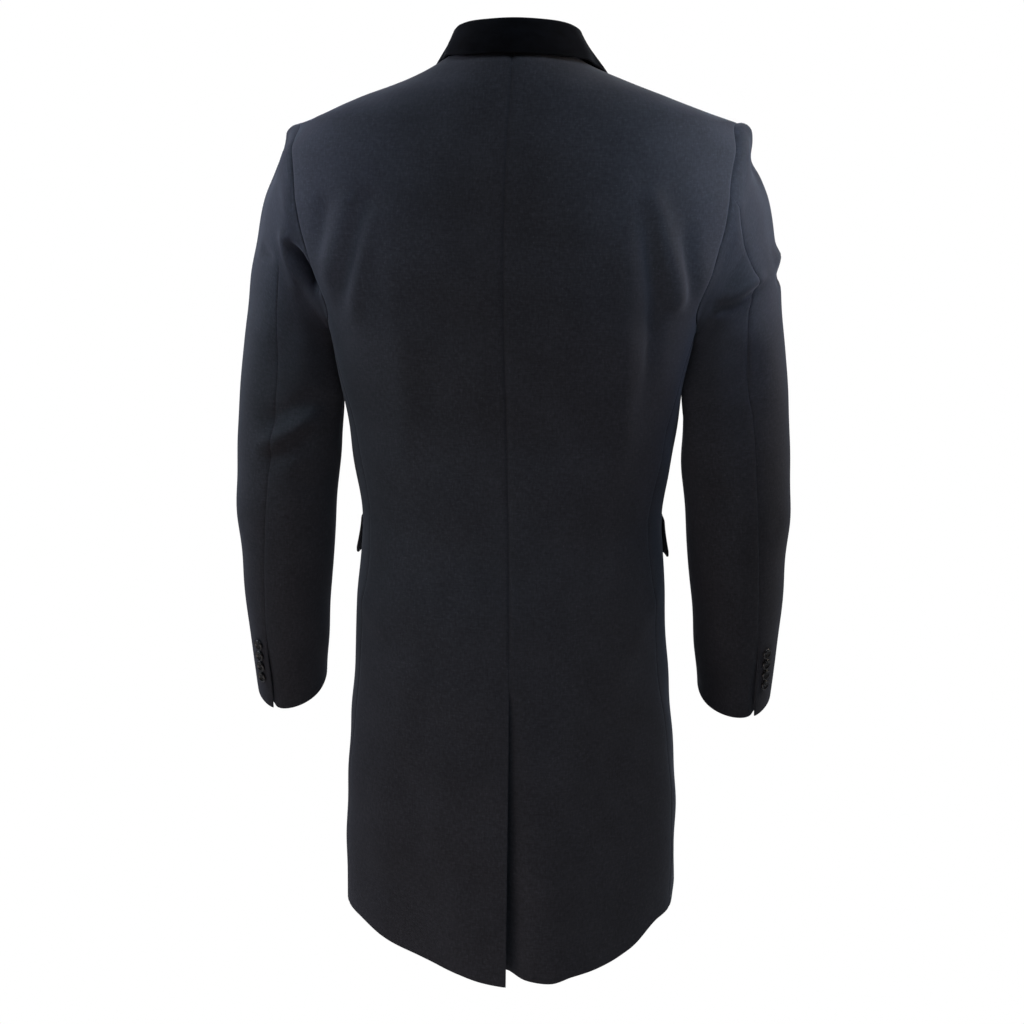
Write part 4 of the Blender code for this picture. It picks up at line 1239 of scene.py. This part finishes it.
# Colours along a grain, and how far wear and heather lighten or darken the wool
WOOL_SHADES = (
    (0.32, (0.0118, 0.0124, 0.0154)),
    (0.52, (0.0152, 0.0160, 0.0200)),
    (0.70, (0.0212, 0.0222, 0.0276)),
)
WEAR_SHADES = ((0.30, (0.88, 0.88, 0.88)), (0.70, (1.12, 1.12, 1.12)))
HEATHER_SHADES = ((0.30, (0.84, 0.84, 0.84)), (0.70, (1.16, 1.16, 1.16)))
FLECK_SHOWS = ((0.66, (0, 0, 0)), (0.78, (0.22, 0.22, 0.22)))
FLECK_COLOUR = (0.060, 0.063, 0.075, 1)
VELVET_SHADES = ((0.35, (0.0010, 0.0012, 0.0017)), (0.70, (0.0032, 0.0038, 0.0054)))
HORN_SHADES = ((0.35, (0.004, 0.004, 0.005)), (0.70, (0.016, 0.015, 0.015)))
THREAD_SHADES = ((0.35, (0.012, 0.012, 0.015)), (0.70, (0.030, 0.030, 0.036)))


def set_inputs(tree, made, inputs):
    """Links each input of a node to a socket, or sets its value."""
    for name, value in inputs.items():
        if isinstance(value, bpy.types.NodeSocket):
            tree.links.new(value, made.inputs[name])
        else:
            made.inputs[name].default_value = value


def node(tree, kind, inputs, **settings):
    made = tree.nodes.new(kind)
    for name, value in settings.items():
        setattr(made, name, value)
    set_inputs(tree, made, inputs)
    return made


def ramp(tree, factor, stops):
    """Colours by factor, each stop a place from 0 to 1 and a colour."""
    made = node(tree, "ShaderNodeValToRGB", {"Fac": factor})
    marks = made.color_ramp.elements
    while len(marks) < len(stops):
        marks.new(0.5)
    for mark, (place, colour) in zip(marks, stops):
        mark.position = place
        mark.color = (*colour, 1)
    return made.outputs["Color"]


def noise(tree, where, grain):
    scaled = node(tree, "ShaderNodeMapping", {"Vector": where, "Scale": grain.waves}).outputs["Vector"]
    settings = {"Vector": scaled, "Scale": 1.0, "Detail": grain.detail}
    return node(tree, "ShaderNodeTexNoise", settings).outputs["Fac"]


def mix_of(tree, first, second, share=0.5):
    """Two numbers mixed; inputs 2 and 3 and output 0 are the mix node's numbers."""
    return node(tree, "ShaderNodeMix", {0: share, 2: first, 3: second}, data_type="FLOAT").outputs[0]


def blend(tree, share, first, second, how="MIX"):
    """Two colours blended; inputs 6 and 7 and output 2 are the mix node's colours."""
    inputs = {0: share, 6: first, 7: second}
    return node(tree, "ShaderNodeMix", inputs, data_type="RGBA", blend_type=how).outputs[2]


def raised(tree, height, strength, distance):
    inputs = {"Height": height, "Strength": strength, "Distance": distance}
    return node(tree, "ShaderNodeBump", inputs).outputs["Normal"]


def weave_of(tree):
    return node(tree, "ShaderNodeAttribute", {}, attribute_name="weave").outputs["Vector"]


def object_place(tree):
    return node(tree, "ShaderNodeTexCoord", {}).outputs["Object"]


def new_material(name):
    made = bpy.data.materials.new(name)
    made.use_nodes = True
    tree = made.node_tree
    return made, tree, tree.nodes["Principled BSDF"]


def wool_material():
    made, tree, shader = new_material("flecked wool")
    where = weave_of(tree)
    yarn = mix_of(tree, noise(tree, where, WARP), noise(tree, where, WEFT))
    shade = ramp(tree, yarn, WOOL_SHADES)
    for grain, shades in ((WEAR, WEAR_SHADES), (HEATHER, HEATHER_SHADES)):
        shade = blend(tree, 1.0, shade, ramp(tree, noise(tree, where, grain), shades), "MULTIPLY")
    specks = ramp(tree, noise(tree, where, FLECK), FLECK_SHOWS)
    look = {
        "Base Color": blend(tree, specks, shade, FLECK_COLOUR),
        "Normal": raised(tree, yarn, strength=0.22, distance=0.0008),
        "Roughness": 0.92,
        "Specular IOR Level": 0.15,
        "Sheen Weight": 0.08,
        "Sheen Roughness": 0.45,
        "Sheen Tint": (0.72, 0.80, 1.0, 1),
    }
    set_inputs(tree, shader, look)
    return made


def velvet_material():
    made, tree, shader = new_material("black velvet")
    where = weave_of(tree)
    pile = noise(tree, where, PILE)
    tone = mix_of(tree, pile, noise(tree, where, BRUSHED), BRUSHED_SHARE)
    look = {
        "Base Color": ramp(tree, tone, VELVET_SHADES),
        "Normal": raised(tree, pile, strength=0.4, distance=0.0006),
        "Roughness": 0.95,
        "Specular IOR Level": 0.05,
        "Sheen Weight": 0.02,
        "Sheen Roughness": 0.35,
        "Sheen Tint": (0.65, 0.75, 1.0, 1),
    }
    set_inputs(tree, shader, look)
    return made


def horn_material():
    made, tree, shader = new_material("dark horn")
    colour = ramp(tree, noise(tree, object_place(tree), STREAK), HORN_SHADES)
    set_inputs(tree, shader, {"Base Color": colour, "Roughness": 0.30, "Specular IOR Level": 0.35})
    return made


def thread_material():
    made, tree, shader = new_material("thread")
    colour = ramp(tree, noise(tree, object_place(tree), TWIST), THREAD_SHADES)
    set_inputs(tree, shader, {"Base Color": colour, "Roughness": 0.8})
    return made


# A record for the cut of a piece of cloth as it lies flat, by width, length and area; nothing here fills it
# in
Cut = namedtuple("Cut", "width length area")


def finish_piece(piece, node_name):
    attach(piece, BODY)
    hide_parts(node_name)


def sew_cuff_buttons(word, side, pattern, made_of):
    for k in range(CUFF_BUTTON_COUNT):
        share = 1 - (CUFF_BUTTON_UP + k * CUFF_BUTTON_PITCH) / SLEEVE_LENGTH
        phi = hind_seam(share, side) - CUFF_BUTTON_BESIDE / ARM_RADIUS
        seat = sleeve(phi, share, side, LAY_GAP)
        facing = sleeve(phi, share, side, FACING_STEP) - seat
        piece = button(f"sleeve_button_{word}_{k + 1}", pattern, seat, facing, made_of)
        finish_piece(piece, f"cuff_button_{word}_{k + 1}")


def sew_front_buttons(word, side, pattern, made_of):
    """A column of front buttons; both columns are on the left front, which lies on top."""
    x = side * FRONT_BUTTON_ACROSS
    for row, z in enumerate(FRONT_BUTTON_ROWS, 1):
        seat = on_front(x, z, LEFT, LAY_GAP)
        facing = on_front(x, z, LEFT, FACING_STEP) - seat
        piece = button(f"coat_button_{word}_{row}", pattern, seat, facing, made_of)
        finish_piece(piece, f"front_button_{word}_{row}")


def make_coat():
    wool = wool_material()
    velvet = velvet_material()
    horn = (horn_material(), thread_material())
    large = turned_button(FRONT_BUTTON_RADIUS, FRONT_BUTTON_HEIGHT)
    small = turned_button(CUFF_BUTTON_RADIUS, CUFF_BUTTON_HEIGHT)
    for word, side in SIDES:
        back, front = f"back_panel_{word}", f"front_panel_{word}"
        finish_piece(back_panel(back, side, wool), f"back_{word}")
        finish_piece(front_panel(front, side, wool), f"front_{word}")
        piece = lapel(f"lapel_cloth_{word}", side, wool)
        finish_piece(piece, f"lapel_{word}")
        for part in ("top", "under"):
            piece = sleeve_piece(f"{part}_sleeve_{word}", side, part, wool)
            finish_piece(piece, f"sleeve_{part}_{word}")
        piece = flap(f"pocket_flap_{word}", side, wool)
        finish_piece(piece, f"flap_{word}")
        sew_cuff_buttons(word, side, small, horn)
        sew_front_buttons(word, side, large, horn)
    finish_piece(collar("velvet_collar", velvet), "collar")


# The camera behind the coat, looking a little down
CAMERA_AWAY = 1.70775
CAMERA_Z = -0.1392
CAMERA_DOWN = np.radians(11.0)
CAMERA_YAW = np.radians(2.5)
CAMERA_ROLL = np.radians(0.4)
CAMERA_LENS = 55.55
CAMERA_SENSOR = 36.0

# Lights: where each stands, what it points at, its size, power and colour, and how wide its beam is
WIDE = 180
Lamp = namedtuple("Lamp", "name place at size power colour beam", defaults=(WIDE,))
LAMPS = (
    Lamp("floor light", (0.60, 1.25, -1.35), (0.18, 0.0, -0.80), 1.0, 13.8, (1.0, 0.85, 0.79)),
    Lamp("top light", (-0.26, 0.98, 1.83), (0.0, 0.0, -0.35), 1.2, 34.0, (0.79, 0.90, 1.0)),
    Lamp("left sleeve light", (1.15, 0.54, 0.52), (0.28, 0.03, -0.27), 0.30, 0.31, (0.72, 0.91, 1.0), 24),
    Lamp("left blade light", (0.89, 1.14, 0.04), (0.24, 0.05, -0.11), 0.20, 0.180, (0.62, 0.72, 1.0), 14),
    Lamp(
        "right sleeve light", (-1.14, 0.54, 0.66), (-0.28, 0.03, -0.15), 0.20, 0.155, (0.62, 0.70, 1.0), 14
    ),
    Lamp(
        "right blade light", (-0.89, 1.14, 0.04), (-0.23, 0.05, -0.11), 0.20, 0.250, (0.66, 0.83, 1.0), 14
    ),
    Lamp("left side light", (1.04, -0.28, 0.24), (0.0, 0.0, -0.15), 0.5, 7.7, (0.88, 0.88, 1.0)),
    Lamp("right side light", (-0.80, -0.05, 0.0), (-0.25, 0.0, -0.20), 0.4, 2.7, (1.0, 0.82, 0.70)),
    Lamp("right shoulder light", (-0.50, 0.15, 0.55), (-0.24, 0.0, -0.12), 0.35, 0.9, (0.62, 0.66, 1.0)),
    Lamp("right front light", (-1.04, -0.28, 0.24), (0.0, 0.0, -0.15), 0.5, 2.8, (1.0, 0.95, 0.80)),
    Lamp("front light", (0.0, -2.0, 0.5), (0.0, 0.0, -0.35), 1.4, 22.0, (1.0, 1.0, 1.0)),
)
SURROUND = 0.02
SURROUND_COLOUR = (1.0, 0.98, 0.96, 1)
FLOOR_Z = -1.55
FLOOR_SIZE = 8.0
FLOOR_COLOUR = (0.85, 0.85, 0.85, 1)
FLOOR_ROUGHNESS = 0.9
WHITE = (1, 1, 1, 1)


def white_to_camera(tree, lit, kind, output):
    """Shows the camera plain white, while light still bounces as from the surface itself."""
    white = node(tree, kind, {"Color": WHITE, "Strength": 1.0})
    seen = node(tree, "ShaderNodeLightPath", {}).outputs["Is Camera Ray"]
    mixed = node(tree, "ShaderNodeMixShader", {0: seen, 1: lit.outputs[0], 2: white.outputs[0]})
    tree.links.new(mixed.outputs[0], tree.nodes[output].inputs["Surface"])


def make_floor():
    bm = bmesh.new()
    place = Matrix.Translation((0, 0, FLOOR_Z))
    bmesh.ops.create_grid(bm, x_segments=1, y_segments=1, size=FLOOR_SIZE, matrix=place)
    made, tree, shader = new_material("pale floor")
    set_inputs(tree, shader, {"Base Color": FLOOR_COLOUR, "Roughness": FLOOR_ROUGHNESS})
    white_to_camera(tree, shader, "ShaderNodeEmission", "Material Output")
    add_object("floor", bm, made)


def make_lights():
    for lamp in LAMPS:
        light = bpy.data.lights.new(lamp.name, "AREA")
        light.size = lamp.size
        light.energy = lamp.power
        light.color = lamp.colour
        light.spread = np.radians(lamp.beam)
        made = bpy.data.objects.new(lamp.name, light)
        made.location = lamp.place
        aim = Vector(lamp.at) - Vector(lamp.place)
        made.rotation_euler = aim.to_track_quat("-Z", "Y").to_euler()
        bpy.context.scene.collection.objects.link(made)


def make_surround():
    world = bpy.data.worlds.new("studio")
    world.use_nodes = True
    tree = world.node_tree
    dim = tree.nodes["Background"]
    set_inputs(tree, dim, {"Color": SURROUND_COLOUR, "Strength": SURROUND})
    white_to_camera(tree, dim, "ShaderNodeBackground", "World Output")
    bpy.context.scene.world = world
    bpy.context.scene.view_settings.view_transform = "Standard"


def make_camera():
    sin, cos = np.sin, np.cos
    place = np.array((-CAMERA_AWAY * sin(CAMERA_YAW), CAMERA_AWAY * cos(CAMERA_YAW), CAMERA_Z))
    ahead = np.array((
        sin(CAMERA_YAW) * cos(CAMERA_DOWN),
        -cos(CAMERA_YAW) * cos(CAMERA_DOWN),
        -sin(CAMERA_DOWN),
    ))
    level = np.array((-cos(CAMERA_YAW), -sin(CAMERA_YAW), 0))
    upright = np.cross(level, ahead)
    across = level * cos(CAMERA_ROLL) + upright * sin(CAMERA_ROLL)
    up = -level * sin(CAMERA_ROLL) + upright * cos(CAMERA_ROLL)
    lens = bpy.data.cameras.new("camera")
    lens.lens = CAMERA_LENS
    lens.sensor_width = CAMERA_SENSOR
    made = bpy.data.objects.new("camera", lens)
    turn = Matrix((across, up, -ahead)).transposed().to_4x4()
    made.matrix_world = Matrix.Translation(place) @ turn
    bpy.context.scene.collection.objects.link(made)
    bpy.context.scene.camera = made


make_coat()
make_floor()
make_lights()
make_surround()
make_camera()
